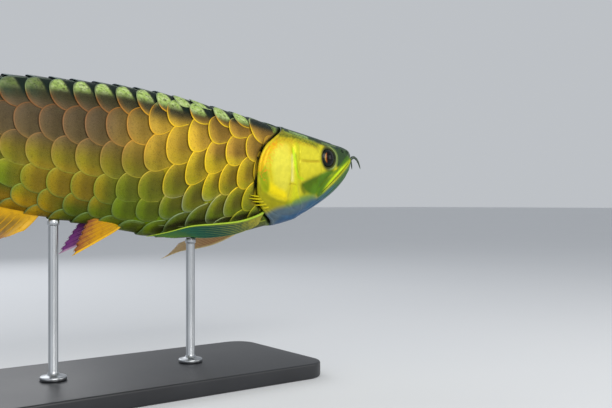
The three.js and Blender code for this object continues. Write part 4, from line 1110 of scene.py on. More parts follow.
@dataclass
class Skin:
    """One unbroken skin from the lips to the tail, folded under the free edge of each gill cover."""

    body: Body
    forms: HeadForms = field(default_factory=HeadForms)
    markings: Markings = field(default_factory=Markings)
    half_rows: int = 108
    head_columns: int = 216
    body_columns: int = 84
    head_bias: float = 1.15
    head_lift: float = 0.1
    under_scales: float = -0.95
    mouth_row: float = 0.55
    mouth_draw: float = 0.35
    fold_reach: tuple[float, float] = (-3.4, 4.4)
    head_end: float = 3.7
    body_bias: float = 1.2
    poles: Pairs = ((-0.25, 0, 46.2), (TAIL_END + 2.5, 0, 56))
    speck_field: Pairs = ((108, 62), (120, 57), (131, 44), (134, 30), (126, 20), (121, 34), (114, 50), (104, 58))
    speck_amount: float = 0.75
    fold: Pairs = (
        (-3.4, 0.0), (-2.2, 0.1), (-1.2, 0.15), (-0.5, 0.05), (-0.05, -0.35), (0.0, -0.85), (-0.3, -1.25),
        (-1.2, -1.5), (-3.0, -1.8), (-4.2, -2.3), (-3.8, -2.9), (-2.0, -3.2), (0.3, -3.0), (1.8, -2.4),
        (3.0, -1.7), (4.4, -1.15),
    )
    fold_shade: tuple[float, ...] = (0, 0, 0, 0, 0.1, 0.6, 0.9, 1, 1, 1, 1, 1, 1, 0.95, 0.8, 0.35)

    def share_of(self, back: Points, row: Points) -> Points:
        """Returns: shares of the half-girth, warped so that one row of points runs along the mouth."""
        lips = np.clip(self.body.share_at(back, Profile(MOUTH_LINE)(back)), 0.2, 0.8)
        power = np.log(lips) / math.log(self.mouth_row)
        power = power + (1 - power) * smooth(back, 50, 88)
        return row ** power

    def grid(self) -> tuple[Points, Points, Points, Points]:
        """Lays the skin out in columns from the lips back and rows round the body.

        Returns: distance back, girth, lift and gill shade, each as columns by rows.
        """
        even = np.linspace(0, 1, self.half_rows + 1)
        turn, near = 2 * math.pi, smooth(np.abs(even - self.mouth_row), 0.5, 0)
        row = even - self.mouth_draw * np.sin(turn * (even - self.mouth_row)) * near / turn
        row[[0, -1]] = 0, 1
        natural, amount = gill_back(self.body, row), gill_reach(row)
        fold = np.array(self.fold)
        folds = np.arange(len(fold))[:, None]
        steps = np.linspace(0, 1, self.head_columns + 1)[1:] ** self.head_bias
        head = steps[:, None] * (natural - self.head_end)
        offset = np.linspace(*self.fold_reach, len(fold))[:, None] * (1 - amount) + fold[:, :1] * amount
        resting = np.linspace(self.head_lift, self.under_scales, len(fold))[:, None]
        lift = resting * (1 - amount) + (fold[:, 1:] + smooth(folds, 6, 0)) * amount
        along = np.linspace(0, 1, self.body_columns + 1)[1:, None] ** self.body_bias
        rest = (natural + self.fold_reach[1]) * (1 - along) + (TAIL_END + 1) * along
        back = np.vstack([head, natural + offset, rest])
        dip = 0.2 * amount * smooth(np.arange(len(rest)), 3, 0)[:, None]
        lifts = np.vstack([np.full(head.shape, self.head_lift), lift, self.under_scales - dip])
        shade = np.vstack([np.zeros(head.shape), np.array(self.fold_shade)[:, None] * amount, np.zeros(rest.shape)])
        share = self.share_of(back.ravel(), np.tile(row, len(back))).reshape(back.shape)
        around = np.hstack([share / 2, 1 - share[:, -2:0:-1] / 2])
        back, lifts, shade = (np.hstack([a, a[:, -2:0:-1]]) for a in (back, lifts, shade))
        return back, around, lifts, shade

    def build(self) -> bpy.types.Object:
        """Returns: the skin, with its colours kept on its points."""
        back, girth, lift, shade = self.grid()
        rings, count = back.shape
        back, girth, lift, shade = (a.ravel() for a in (back, girth, lift, shade))
        _, up = self.body.section(back, girth)
        front = (back < Profile(GILL_LINE)(up) + 0.6) & (shade < 0.5)
        raised = np.zeros(len(back))
        raised[front] = self.forms.relief(back[front], up[front])
        off_belly = np.abs(girth - 0.5)
        fade = smooth(back, 0.3, 3.0) * smooth(off_belly, 0.0, 0.03) * smooth(0.5 - off_belly, 0, 0.02)
        lift = lift + raised * np.maximum(fade, smooth(raised, -0.2, -1.0) * smooth(back, 0.2, 1.0))
        spots = np.vstack([self.body.lifted(back, girth, lift), self.poles])
        piece = piece_from("skin", in_frame(spots), poled_faces(rings, count))
        back, girth, up = np.append(back, [0, TAIL_END]), np.append(girth, [0.25, 0.25]), np.append(up, [46, 56])
        specks = Plate(self.speck_field, 1, 8).mask(side_view(back, up)) * self.speck_amount
        keep(piece, paint=self.markings.paint(back, girth, up, np.append(shade, [0, 0])), specks=specks)
        nodes = ("head", "lower_jaw", "gill_cover_left", "gill_cover_right", "trunk", "tail")
        return settle(piece, "head", nodes, SkinFinish().make())


@dataclass(frozen=True)
class ScaleRow:
    """One row of scales down a side: rear edges by number, and the row's way up or down the side."""

    number: int
    rear: Pairs
    share: Pairs
    sink: float = 0.0


@dataclass
class Coat:
    """Large overlapping scales, each one a thin domed plate with a rounded rear margin."""

    body: Body
    markings: Markings = field(default_factory=Markings)
    proud: float = 0.85
    tilt: float = 0.052
    length: float = 33.0
    depth: float = 19.0
    roundness: float = 2.2
    half_height: float = 19.0
    reach: float = 0.64
    back_share: float = 0.066
    belly_share: float = 0.11
    sizes: tuple[float, float] = (0.72, 1.08)
    seed: int = 7
    across_steps: int = 24
    along_steps: int = 19
    edge_thickness: float = 0.4
    dip: float = 3.2
    paint_front: float = 136.5
    bake_patch: float = 0.003
    middle_back: float = 8.0
    beside_reach: float = 21.0
    midline_sink: float = 0.3
    guide_backs: tuple[float, float] = (70.0, 524.0)
    guide_girths: tuple[float, float] = (-0.2, 1.2)
    guide_length: float = 600.0
    rows: tuple[ScaleRow, ...] = (
        ScaleRow(1, ((0, 196), (1, 215), (2, 233.6), (7, 327), (16, 500), (17, 519)), ((190, 0.07), (205, 0.1),
            (233, 0.158), (260, 0.17), (500, 0.172))),
        ScaleRow(2, ((1, 155), (2, 176), (3, 202), (4, 226), (5, 245), (6, 265), (9, 319), (18, 491), (19, 509)),
                 ((110, 0.12), (150, 0.145), (176, 0.165), (203, 0.2), (226, 0.26), (245, 0.325), (265, 0.353),
                     (318, 0.372), (500, 0.365))),
        ScaleRow(3, ((-1, 140), (0, 164), (1, 187), (2, 209), (3, 230.3), (7, 308.3), (17, 500), (18, 518)),
                 ((134, 0.205), (164, 0.262), (188, 0.315), (209, 0.397), (230, 0.46), (250, 0.522), (285, 0.552),
                     (500, 0.55))),
        ScaleRow(4, ((-1, 128), (0, 148), (1, 171), (2, 192), (3, 211), (4, 232), (5, 253.8), (7, 291.6), (17, 488),
            (18, 507)),
                 ((120, 0.335), (147, 0.378), (172, 0.441), (193, 0.518), (210, 0.6), (230, 0.656), (254, 0.695),
                     (275, 0.728), (500, 0.73)), 0.12),
        ScaleRow(5, ((-1, 139), (0, 158), (1, 176), (2, 193), (3, 211), (4, 232), (7, 294), (17, 498), (18, 516)),
                 ((125, 0.5), (157, 0.572), (179, 0.63), (192, 0.69), (209, 0.749), (232, 0.794), (252, 0.822),
                     (300, 0.855), (500, 0.865)), 0.33),
        ScaleRow(6, ((-1, 130), (0, 149), (3, 204), (6, 262)), ((125, 0.68), (160, 0.755), (180, 0.81), (200, 0.87),
            (225, 0.93), (250, 0.96)), 0.42),
        ScaleRow(7, ((-1, 139), (0, 158), (2, 196)), ((125, 0.84), (150, 0.885), (175, 0.925), (200, 0.95)), 0.48),
    )
    back_row: Pairs = ((0, 112), (4, 190), (12, 341), (20, 494), (21, 513))
    belly_row: Pairs = ((0, 134), (6, 245), (12, 363), (18, 480), (19, 500))

    def places(self) -> Points:
        """Lists the scales.

        Returns: rows of [rear edge, girth, half height, slope, sink, row number].
        """
        found = []
        for row in self.rows:
            share = Profile(row.share)
            for rear in Profile(row.rear)(np.arange(row.rear[0][0], row.rear[-1][0] + 1)):
                middle = rear - self.middle_back
                at = float(share(middle))
                slope = float(share(middle + 6) - share(middle - 6)) / 12
                tall = float(self.body.half_girth(middle)) * self.spacing(row, middle) * self.reach
                for girth, lean in ((at / 2, slope), (1 - at / 2, -slope)):
                    found.append([rear, girth, tall, lean / 2, row.sink, row.number])
        for line, girth, share, number in (
            (self.back_row, 0.0, self.back_share, 0), (self.belly_row, 0.5, self.belly_share, 8)):
            for rear in Profile(line)(np.arange(0, line[-1][0] + 1)):
                tall = float(self.body.half_girth(rear - self.middle_back)) * share
                found.append([rear, girth, tall, 0, self.midline_sink, number])
        return np.array(found)

    def spacing(self, row: ScaleRow, back: float) -> float:
        """Returns: the mean gap to the rows above and below one place of a row, as a share of the half-girth."""
        def beside(number: int, edge: float) -> float:
            for other in self.rows:
                nearest = other.rear[0][1] - self.beside_reach
                if other.number == number and nearest <= back <= other.rear[-1][1]:
                    return float(Profile(other.share)(back))
            return edge

        return (beside(row.number + 1, 1.0) - beside(row.number - 1, -0.02)) / 2

    def one_scale(self) -> bpy.types.Object:
        """Makes the pattern scale flat: x runs along it in millimetres, y across it from -1 to 1, z is its lift.

        Returns: the pattern object, kept out of the render.
        """
        y = np.sin(np.linspace(-1, 1, self.across_steps + 1) * math.pi / 2)
        curve = 1 - (1 - np.abs(y) ** self.roundness) ** (1 / self.roundness)
        rear, front = -self.depth * curve, -self.length + 7 * curve
        share = np.concatenate([[0, 0.018, 0.045, 0.085, 0.13], np.linspace(0.18, 1, self.along_steps - 4)])
        under_share = np.array([0.0, 0.06, 0.5, 1.0])

        def laid(shares: Points) -> tuple[Points, Points]:
            places = rear[:, None] * (1 - shares) + front[:, None] * shares
            return places, 0.5 * (1 - y[:, None] ** 2) * smooth(rear[:, None] - places, 26, 4)

        (top, dome), (under, under_dome) = laid(share), laid(under_share)
        outline = np.stack([rear, y * self.half_height], axis=1)
        outline = np.vstack([[front[0], outline[0, 1]], outline, [front[-1], outline[-1, 1]]])
        flat = np.stack([top.ravel(), np.repeat(y * self.half_height, len(share))], axis=1)
        round_edge = distance_to(outline, flat)[0].reshape(top.shape)
        bead = 0.16 * np.exp(-(((round_edge - 0.8) / 0.6) ** 2)) - 0.28 * np.exp(-round_edge / 0.25)
        rays = 0.045 * np.sin(y[:, None] * 26) * smooth(round_edge, 0.9, 3) * smooth(rear[:, None] - top, 17, 9)
        lift = bead + dome - 0.25 + rays
        under_lift = np.array([-self.edge_thickness, -self.edge_thickness, -0.5, -0.55]) + under_dome - 0.25
        rows, tops, unders = len(y), len(share), len(under_share)
        at = np.vstack([
            np.stack([places.ravel(), np.repeat(y, count), lifts.ravel()], axis=1)
            for places, count, lifts in ((top, tops, lift), (under, unders, under_lift))])
        start = rows * tops
        faces = [f[::-1] for f in sheet_faces(rows, tops)] + sheet_faces(rows, unders, start)
        for i in range(rows - 1):
            a, b, c, d = i * tops, (i + 1) * tops, start + i * unders, start + (i + 1) * unders
            faces += [(a, b, d, c), (b + tops - 1, a + tops - 1, c + unders - 1, d + unders - 1)]
        piece = piece_from("pattern_scale", at, faces)
        margin = np.append(round_edge.ravel(), np.ones(under.size))
        keep(piece, margin=margin, across=at[:, 1], level=at[:, 2], down_length=at[:, 0])
        piece.hide_render = True
        return piece

    def behind_gill(self, back: Points, girth: Points) -> tuple[Points, Points]:
        """Returns: how far places lie behind the gill opening, and how much of an opening it is there."""
        table, share = np.linspace(0, 1, 201), down_share(girth)
        return back - np.interp(share, table, gill_back(self.body, table)), gill_reach(share)

    def flat_place(self, back: Any, girth: Any) -> tuple[Any, Any]:
        """Returns: the place on the guide's map, for numbers or sockets."""
        low, high = self.guide_girths
        return back / self.guide_length, (girth + -low) / (high - low)

    def guide(self) -> bpy.types.Object:
        """Returns: the bare body unrolled past its seam, with its flat place and normal kept on each point."""
        columns, rows = 240, 301
        grid = np.meshgrid(
            np.linspace(*self.guide_backs, columns), np.linspace(*self.guide_girths, rows), indexing="ij")
        back, girth = (a.ravel() for a in grid)
        outward = self.body.outward(back, girth)
        behind, reach = self.behind_gill(back, girth)
        spots = self.body.spot(back, girth) - outward * (self.dip * smooth(behind, 6, -1) * reach)[:, None]
        piece = piece_from("guide", spots, sheet_faces(columns, rows))
        keep(piece, outward=outward)
        keep_map(piece, "flat", np.stack(self.flat_place(back, girth), axis=1))
        piece.hide_render = True
        return piece

    def recipe(self) -> Recipe:
        """Returns: the tree that sets a scale on every place and wraps it onto the body."""
        r = Recipe("scale_coat", {"Scale": "NodeSocketObject", "Guide": "NodeSocketObject", "Tilt": "NodeSocketFloat",
                                  "Proud": "NodeSocketFloat", "Material": "NodeSocketMaterial"})
        pattern, guide = (
            r.add("GeometryNodeObjectInfo", {"Object": r.given(label)}, "Geometry") for label in ("Scale", "Guide"))
        laid = r.add("GeometryNodeInstanceOnPoints", {"Points": r.given("Geometry"), "Instance": pattern})
        real = r.add("GeometryNodeRealizeInstances", {"Geometry": laid})
        along, across = r.read("down_length") * r.read("size"), r.read("across")
        back = r.read("root_back") + along
        girth = r.read("root_girth") + across * r.read("half_tall") + along * r.read("lean")
        flat = r.point(*self.flat_place(back, girth))
        spot, out = (
            r.add("GeometryNodeSampleUVSurface", {
                "Mesh": guide, "UV Map": r.read("flat", "FLOAT_VECTOR"), "Sample UV": flat, "Value": value,
            }, data_type="FLOAT_VECTOR")
            for value in (r.add("GeometryNodeInputPosition"), r.read("outward", "FLOAT_VECTOR")))
        lift = r.read("level") + r.given("Proud") + along * r.given("Tilt") - r.read("sink")
        raised = r.add("ShaderNodeVectorMath", {0: out, "Scale": lift}, operation="SCALE")
        spot = r.add("ShaderNodeVectorMath", {0: spot, 1: raised}, operation="ADD")
        r.close(r.add("GeometryNodeSetPosition", {"Geometry": real, "Position": spot}))
        return r

    def build(self) -> list[bpy.types.Object]:
        """Returns: the scales of the left side, the right side and the two midlines."""
        random = np.random.default_rng(self.seed)
        places = self.places()
        places = np.column_stack([places, random.random(len(places))])
        recipe, pattern, guide, finish = self.recipe(), self.one_scale(), self.guide(), ScaleFinish().make()
        sides = {"left": (places[:, 1] > 0.01) & (places[:, 1] < 0.49), "right": places[:, 1] > 0.51}
        sides["midline"] = ~sides["left"] & ~sides["right"]
        pieces = []
        for side, chosen in sides.items():
            rear, girth, tall, lean, sink, row, own = places[chosen].T
            seed = piece_from("places_" + side, np.zeros((len(rear), 3)), [])
            keep(seed, root_back=rear + random.normal(0, 0.35, len(rear)), root_girth=girth,
                 half_tall=tall / (2 * self.body.half_girth(rear - 10)), lean=lean, sink=sink, row=row,
                 own=own, size=np.clip(tall / self.half_height, *self.sizes))
            piece = recipe.make("scales_" + side, seed, {
                "Scale": pattern, "Guide": guide, "Tilt": self.tilt, "Proud": self.proud, "Material": finish})
            self.dress(piece)
            pieces.append(settle(piece, "scales", ("trunk", "tail")))
        for helper in (pattern, guide):
            bpy.data.objects.remove(helper)
        return pieces

    def dress(self, piece: bpy.types.Object) -> None:
        """Moves the wrapped scales into the part's frame and keeps their colours and bake map."""
        mesh = piece.data
        spots = np.empty(len(mesh.vertices) * 3)
        mesh.vertices.foreach_get("co", spots)
        spots = spots.reshape(-1, 3)
        mesh.vertices.foreach_set("co", in_frame(spots).ravel())
        along, size, across, root_back, root_girth, half_tall, lean, margin, row = kept(
            piece, "down_length", "size", "across", "root_back", "root_girth", "half_tall", "lean", "margin", "row")
        along = along * size
        girth = root_girth + across * half_tall + along * lean
        share = down_share(girth)
        behind, reach = self.behind_gill(spots[:, 0], girth)
        groove = smooth(behind, 5.0, 2.0) * reach
        back = np.maximum(spots[:, 0], self.paint_front)
        paint, rim = (tell(back, girth, spots[:, 2], groove) for tell in (self.markings.paint, self.markings.rim))
        nape = smooth(behind, 11, 6) * smooth(share, 0.36, 0.3)
        rear = 0.5 * smooth(back, 200, 285) * smooth(share, 0.62, 0.5)
        plain = np.maximum(nape, rear)[:, None]
        lower_edge = 0.212 - 0.034 * smooth(root_back, 200, 285)
        upper = smooth(share - lower_edge, 0.0, -0.06) * (row < 2.5)
        front = 15.5 + 34 * (share - 0.14) + along
        # the pale patches fade towards the tail: painted shade over the rear of the back
        lasting = 0.25 + 0.75 * smooth(root_back, 352, 318)
        patch = lasting * upper * smooth(margin, 0.7, 1.5) * smooth(front, -0.8, 1.2) * (row > 0.5)
        # black-green front parts of the upper rows, partly their own colour and partly painted shade; the third row's
        # upper front hollow is painted shade
        dark = smooth(share, 0.225, 0.17) * (row < 2.5) * smooth(front, 1.0, -2.0)
        third_row = smooth(share, 0.2, 0.15) * (np.abs(row - 3) < 0.5)
        hollow_shade = third_row * smooth(along, -1.6, -4.0) * smooth(margin, 1.2, 2.4)
        # darker centres, partly painted shade, stronger near the head and on the upper side
        depth = 0.2 + 0.42 * smooth(root_back, 300, 190) * smooth(share, 0.3, 0.45)
        keep(piece, paint=paint, rim=rim * (1 - plain) + paint * plain, top_patch=patch,
             black_root=dark + 0.92 * hollow_shade, depth=depth * (1 - groove),
             front_shade=0.42 * smooth(along / size, -7.5, -18.0) * (1 - groove))
        u = root_back / 560 + (along / self.length + 0.5) * self.bake_patch
        v = 0.02 + 0.96 * np.mod(root_girth, 1) + across * self.bake_patch / 2
        keep_map(piece, BAKE_MAP, np.stack([u, v], axis=1))
        smoothed(piece)


@dataclass
class Eye:
    """A bulging eye set in its socket."""

    body: Body
    radius: float = 9.8
    half_depth: float = 5.6
    sunk: float = 3.4
    rings: int = 30
    spokes: int = 64
    facing: tuple[float, float, float] = (-0.12, 1.0, 0.06)
    bulge: float = 0.5
    bulge_width: float = 5.2
    pupil_shift: float = 1.3
    pupil_width: float = 0.74

    def build(self, side: int, label: str, finish: bpy.types.Material) -> bpy.types.Object:
        """Makes one eye.

        Args:
            side: 1 for the left, -1 for the right.
            label: the side's name.
            finish: its material.
        Returns: the eye.
        """
        turn = np.linspace(0, 1, self.rings + 1)[1:] * math.pi
        spoke = np.linspace(0, 2 * math.pi, self.spokes, endpoint=False)
        ring = self.radius * np.sin(turn)[:, None] * np.ones(self.spokes)
        depth = self.half_depth * np.cos(turn)[:, None] * np.ones(self.spokes)
        depth = depth + self.bulge * np.exp(-((ring / self.bulge_width) ** 4)) * (depth > 0)
        centre = self.body.side_at(*EYE_SPOT) - self.sunk
        outward = np.array(self.facing) / np.linalg.norm(self.facing)
        across = np.cross(outward, [0, 0, 1])
        across /= np.linalg.norm(across)
        flat = (ring * np.cos(spoke))[..., None] * across + (ring * np.sin(spoke))[..., None] * np.cross(across,
            outward)
        local = flat + depth[..., None] * outward
        poles = [outward * (self.half_depth + self.bulge), -outward * self.half_depth]
        spots = np.vstack([local[:-1].reshape(-1, 3), *poles]) * [1, side, 1]
        rings = self.rings - 1
        faces = [f[::side] for f in poled_faces(rings, self.spokes)]
        piece = piece_from("eyeball_" + label, in_frame(spots + [EYE_SPOT[0], side * centre, EYE_SPOT[1]]), faces)
        seen = np.append((depth[:-1] > -1).ravel(), [True, False])
        gap = np.hypot((ring * np.cos(spoke) + self.pupil_shift) / self.pupil_width, ring * np.sin(spoke))
        keep(piece, ring=np.where(seen, np.append(ring[:-1].ravel(), [0, 0]), self.radius),
             pupil=np.append(gap[:-1].ravel(), [1.5 / self.pupil_width] * 2),
             spoke=np.append(np.tile(np.cos(spoke * 9), rings), [0, 0]),
             # top and bottom of the iris: its own dark bar and painted shade under the brow
             dusk=np.append(np.tile(smooth(np.abs(np.sin(spoke)), 0.6, 0.95), rings), [0, 0]))
        return settle(piece, "eye", ("eye_" + label,), finish)


class Upright:
    """A fin's middle sheet that stands upright on the midline."""

    def normal(self, across: Points, t: Points) -> Points:
        """Returns: the sideways direction."""
        return np.broadcast_to([0.0, 1.0, 0.0], (*np.shape(across), 3))


@dataclass(frozen=True)
class MidlineFin(Upright):
    """A fin on the midline: rays leave the body's edge, lean back and curve a little further back."""

    start: float
    end: float
    edge: Pairs
    sign: int
    wave: float
    lengths: Pairs
    leans: Pairs
    root_depth: float = 4.0
    curl: float = 10.0

    def path(self, across: Points, t: Points) -> Points:
        """Returns: places on the fin's middle sheet."""
        back = self.start + (self.end - self.start) * across
        up = Profile(self.edge)(back)
        angle = np.radians(Profile(self.leans)(across) + self.curl * t)
        out = t * (Profile(self.lengths)(across) + self.root_depth) - self.root_depth
        side = self.wave * t * t * np.sin(5 * across + 2 * t)
        return np.stack([back + np.sin(angle) * out, side, up + self.sign * np.cos(angle) * out], axis=-1)


@dataclass(frozen=True)
class TailFin(Upright):
    """The rounded tail fin, its rays spreading from the end of the scaled body."""

    back: float = 494.0
    low: float = 38.0
    high: float = 74.0
    length: float = 93.0
    corner_length: float = 62.0
    spread: float = 27.0
    wave: float = 3.0

    def path(self, across: Points, t: Points) -> Points:
        """Returns: places on the fin's middle sheet."""
        place = 2 * across - 1
        root = self.low + (self.high - self.low) * across
        angle = np.radians(self.spread * place * (0.75 + 0.25 * t))
        reach = t * (self.length - (self.length - self.corner_length) * np.abs(place) ** 2.8)
        side = self.wave * t * t * np.sin(2.4 * place + 1.5 * t)
        return np.stack([self.back + np.cos(angle) * reach, side, root + np.sin(angle) * reach], axis=-1)


def spline(points: Pairs) -> Callable[[Points], Points]:
    """Returns: a centripetal curve through points in space, by its share from 0 to 1."""
    p = np.array(points, float)
    ends = np.vstack([2 * p[0] - p[1], p, 2 * p[-1] - p[-2]])
    gap = np.maximum(np.linalg.norm(np.diff(ends, axis=0), axis=1), 1e-6) ** 0.5

    def at(share: Points) -> Points:
        place = np.clip(share, 0, 1) * (len(p) - 1)
        i = np.clip(place.astype(int), 0, len(p) - 2)
        w = (place - i)[..., None]
        a, b, c, d = ends[i], ends[i + 1], ends[i + 2], ends[i + 3]
        g0, g1, g2 = (gap[i + k][..., None] for k in range(3))
        start = ((b - a) / g0 - (c - a) / (g0 + g1) + (c - b) / g1) * g1
        end = ((c - b) / g1 - (d - b) / (g1 + g2) + (d - c) / g2) * g1
        return b + w * start + w**2 * (3 * (c - b) - 2 * start - end) + w**3 * (2 * (b - c) + start + end)

    return at


@dataclass(frozen=True)
class PairedFin:
    """A fin whose blade hangs off a leading edge; places are [back, side, up], the left being positive."""

    lead: Pairs
    chord: Pairs
    chord_width: Pairs
    trailing_share: float

    def path(self, across: Points, t: Points) -> Points:
        """Returns: places on the blade's middle sheet."""
        along = np.asarray(t * (1 - (1 - self.trailing_share) * across**1.3))
        return spline(self.lead)(along) + self.chord_at(along) * (Profile(self.chord_width)(along) * across)[...,
            None]

    def chord_at(self, along: Points) -> Points:
        """Returns: the blade's direction away from its leading edge."""
        chords = np.array(self.chord, float)
        chords /= np.linalg.norm(chords, axis=1, keepdims=True)
        found = spline(chords)(along)
        return found / np.linalg.norm(found, axis=-1, keepdims=True)

    def normal(self, across: Points, t: Points) -> Points:
        """Returns: the blade's face direction."""
        near = np.minimum(t, 0.9)
        forward = spline(self.lead)(near + 0.05) - spline(self.lead)(near)
        normal = np.cross(forward, self.chord_at(near))
        return normal / np.linalg.norm(normal, axis=-1, keepdims=True)


def pelvic(side: int) -> PairedFin:
    """Args: side: 1 for the left, -1 for the right. Returns: the pelvic fin's shape."""
    return PairedFin(
        lead=((258, side * 2, -17), (264, side * 6, -21.5), (285, side * 11, -32), (308, side * 16, -42.6)),
        chord=((0.8, 0, 0.1), (0.3, -side * 0.15, 0.95), (0, -side * 0.25, 1)),
        chord_width=((0, 8), (0.3, 13), (0.7, 20), (1, 23)), trailing_share=0.72)


class Side(Enum):
    """The fish's sides, with the pectoral fin's leading edge, blade and widths on each."""

    LEFT = PairedFin(
        lead=((116, 10, -6), (121, 17.5, -12), (123, 23, -26), (132, 35, -35), (142, 48, -41.4), (152, 60, -45),
            (162, 73, -48), (176, 88, -56)),
        chord=((0.5, -0.2, -0.7), (0.85, -0.1, 0.1), (0.85, -0.1, 0.45), (0.85, -0.1, 0.5)),
        chord_width=((0, 9), (0.2, 15), (0.5, 20), (0.8, 13), (1, 1.2)), trailing_share=0.78)
    RIGHT = PairedFin(
        lead=((116, -10, -6), (122, -17.5, -9), (147, -21, -16), (175, -21, -18.5), (200, -20, -20), (222, -17, -25),
            (240, -12, -28.5)),
        chord=((0.2, 0.35, -0.8), (0.15, 0.55, -0.9), (0.2, 0.6, -0.8)),
        chord_width=((0, 9), (0.2, 12), (0.5, 14.5), (0.8, 8), (1, 1.2)), trailing_share=0.78)


@dataclass
class Fin:
    """A fin of tapered, jointed rays that fork towards their tips, with thin skin between them."""

    name: str
    slot: str
    finish: FinFinish
    shape: MidlineFin | TailFin | PairedFin
    rays: int
    root_radius: float
    tip_radius: float = 0.22
    web: float = 0.32
    root_web: float = 1.6
    lead_factor: float = 1.0
    steps: int = 34
    web_steps: int = 6
    notch: float = 0.035
    taper: float = 1.1
    joint_count: float = 40.0
    ray_sides: int = 8
    root_lines: tuple[Points, ...] = ()

    def sheet(self) -> tuple[Points, list[Face], dict[str, Points]]:
        """Returns: the web's points, faces and kept values."""
        rows, columns = (self.rays - 1) * self.web_steps + 1, self.steps + 1
        across, t = np.meshgrid(np.linspace(0, 1, rows), np.linspace(0, 1, columns), indexing="ij")
        reach = t * (1 - self.notch * np.abs(np.sin(across * (self.rays - 1) * math.pi)))
        middle, normal = self.shape.path(across, reach), self.shape.normal(across, reach)
        half = (self.web + self.root_web * (1 - t) ** 3)[..., None] / 2
        spots = np.vstack([(middle + normal * half).reshape(-1, 3), (middle - normal * half).reshape(-1, 3)])
        start = rows * columns
        faces = sheet_faces(rows, columns) + [f[::-1] for f in sheet_faces(rows, columns, start)]
        rim = [i * columns for i in range(rows)] + [(rows - 1) * columns + k for k in range(1, columns)]
        rim += [i * columns + columns - 1 for i in range(rows - 2, -1, -1)] + list(range(columns - 2, 0, -1))
        faces += [(b, a, a + start, b + start) for a, b in zip(rim, rim[1:] + rim[:1])]
        values = {"along": np.tile(t.ravel(), 2), "across": np.tile(across.ravel(), 2), "ray": np.zeros(2 * start)}
        return spots, faces, values

    def strands(self) -> tuple[Points, list[Face], dict[str, Points]]:
        """Returns: the rays' centre lines as points and edges, with their radius and place."""
        spots, edges, values = [], [], {"thick": [], "along": [], "across": []}
        gap = 1 / (self.rays - 1)

        def strand(line: Points, thick: Points, t: Points, places: Points) -> None:
            start = sum(len(s) for s in spots)
            spots.append(line)
            edges.extend((start + i, start + i + 1) for i in range(len(line) - 1))
            for label, numbers in (("thick", thick), ("along", t), ("across", places)):
                values[label].append(numbers)

        def ray_part(places: Points, t: Points, root: float, tip: float, share: float = 1.0) -> None:
            thick = tip + (root - self.tip_radius) * (1 - t) ** self.taper * share
            strand(self.shape.path(places, t), thick, t, places)

        for ray in range(self.rays):
            place = ray * gap
            if ray == 0:
                stem = np.linspace(0, 1, self.steps + 1)
                ray_part(np.full(len(stem), place), stem, self.root_radius * self.lead_factor, self.tip_radius)
                continue
            stem = np.linspace(0, 0.5, self.steps // 2)
            ray_part(np.full(len(stem), place), stem, self.root_radius, self.tip_radius)
            for sign in (-1, 1):
                t = np.linspace(0.46, 0.78, 12)
                spread = place + sign * gap * 0.17 * smooth(t, 0.44, 0.8)
                ray_part(np.clip(spread, 0, 1), t, self.root_radius, self.tip_radius, 0.8)
                for twig in (-1, 1):
                    t = np.linspace(0.74, 1, 10)
                    tips = place + sign * gap * 0.16 + (sign * 0.02 + twig * 0.11) * gap * smooth(t, 0.72, 1.0)
                    ray_part(np.clip(tips, 0, 1), t, self.root_radius, self.tip_radius * 0.8, 0.6)
        for line in self.root_lines:
            thick = 0.95 - 0.7 * np.linspace(0, 1, len(line)) ** 2
            strand(line, thick, np.zeros(len(line)), np.full(len(line), 0.5))
        return np.vstack(spots), edges, {k: np.concatenate(v) for k, v in values.items()}

    @staticmethod
    def recipe() -> Recipe:
        """Returns: the tree that gives each strand its round, tapered body."""
        r = Recipe("fin_rays", {"Sides": "NodeSocketInt", "Material": "NodeSocketMaterial"})
        line = r.add("GeometryNodeMeshToCurve", {"Mesh": r.given("Geometry")})
        line = r.add("GeometryNodeSetCurveRadius", {"Curve": line, "Radius": 1.0})
        circle = r.add("GeometryNodeCurvePrimitiveCircle", {"Resolution": r.given("Sides"), "Radius": 1.0})
        r.close(r.add("GeometryNodeCurveToMesh", {
            "Curve": line, "Profile Curve": circle, "Scale": r.read("thick"), "Fill Caps": True}))
        return r

    def build(self) -> bpy.types.Object:
        """Returns: the fin as one piece."""
        material = self.finish.make()
        spots, faces, values = self.sheet()
        web = piece_from(self.name + "_look", in_frame(spots), faces)
        keep(web, **values, run=values["along"] * self.joint_count)
        web.data.materials.append(material)
        lines, edges, values = self.strands()
        seed = piece_from(self.name + "_lines", in_frame(lines), [], edges)
        values["thick"] = values["thick"] * MM
        keep(seed, **values, run=values["along"] * self.joint_count, ray=np.ones(len(lines)))
        tubes = smoothed(TUBES.make(self.name + "_rays", seed, {"Sides": self.ray_sides, "Material": material}))
        return settle(joined([web, tubes]), self.slot, (self.name,))


def joined(pieces: Sequence[bpy.types.Object]) -> bpy.types.Object:
    """Returns: the first piece with the others' meshes joined to it."""
    bpy.ops.object.select_all(action="DESELECT")
    for piece in pieces:
        piece.select_set(True)
    bpy.context.view_layer.objects.active = pieces[0]
    bpy.ops.object.join()
    return pieces[0]


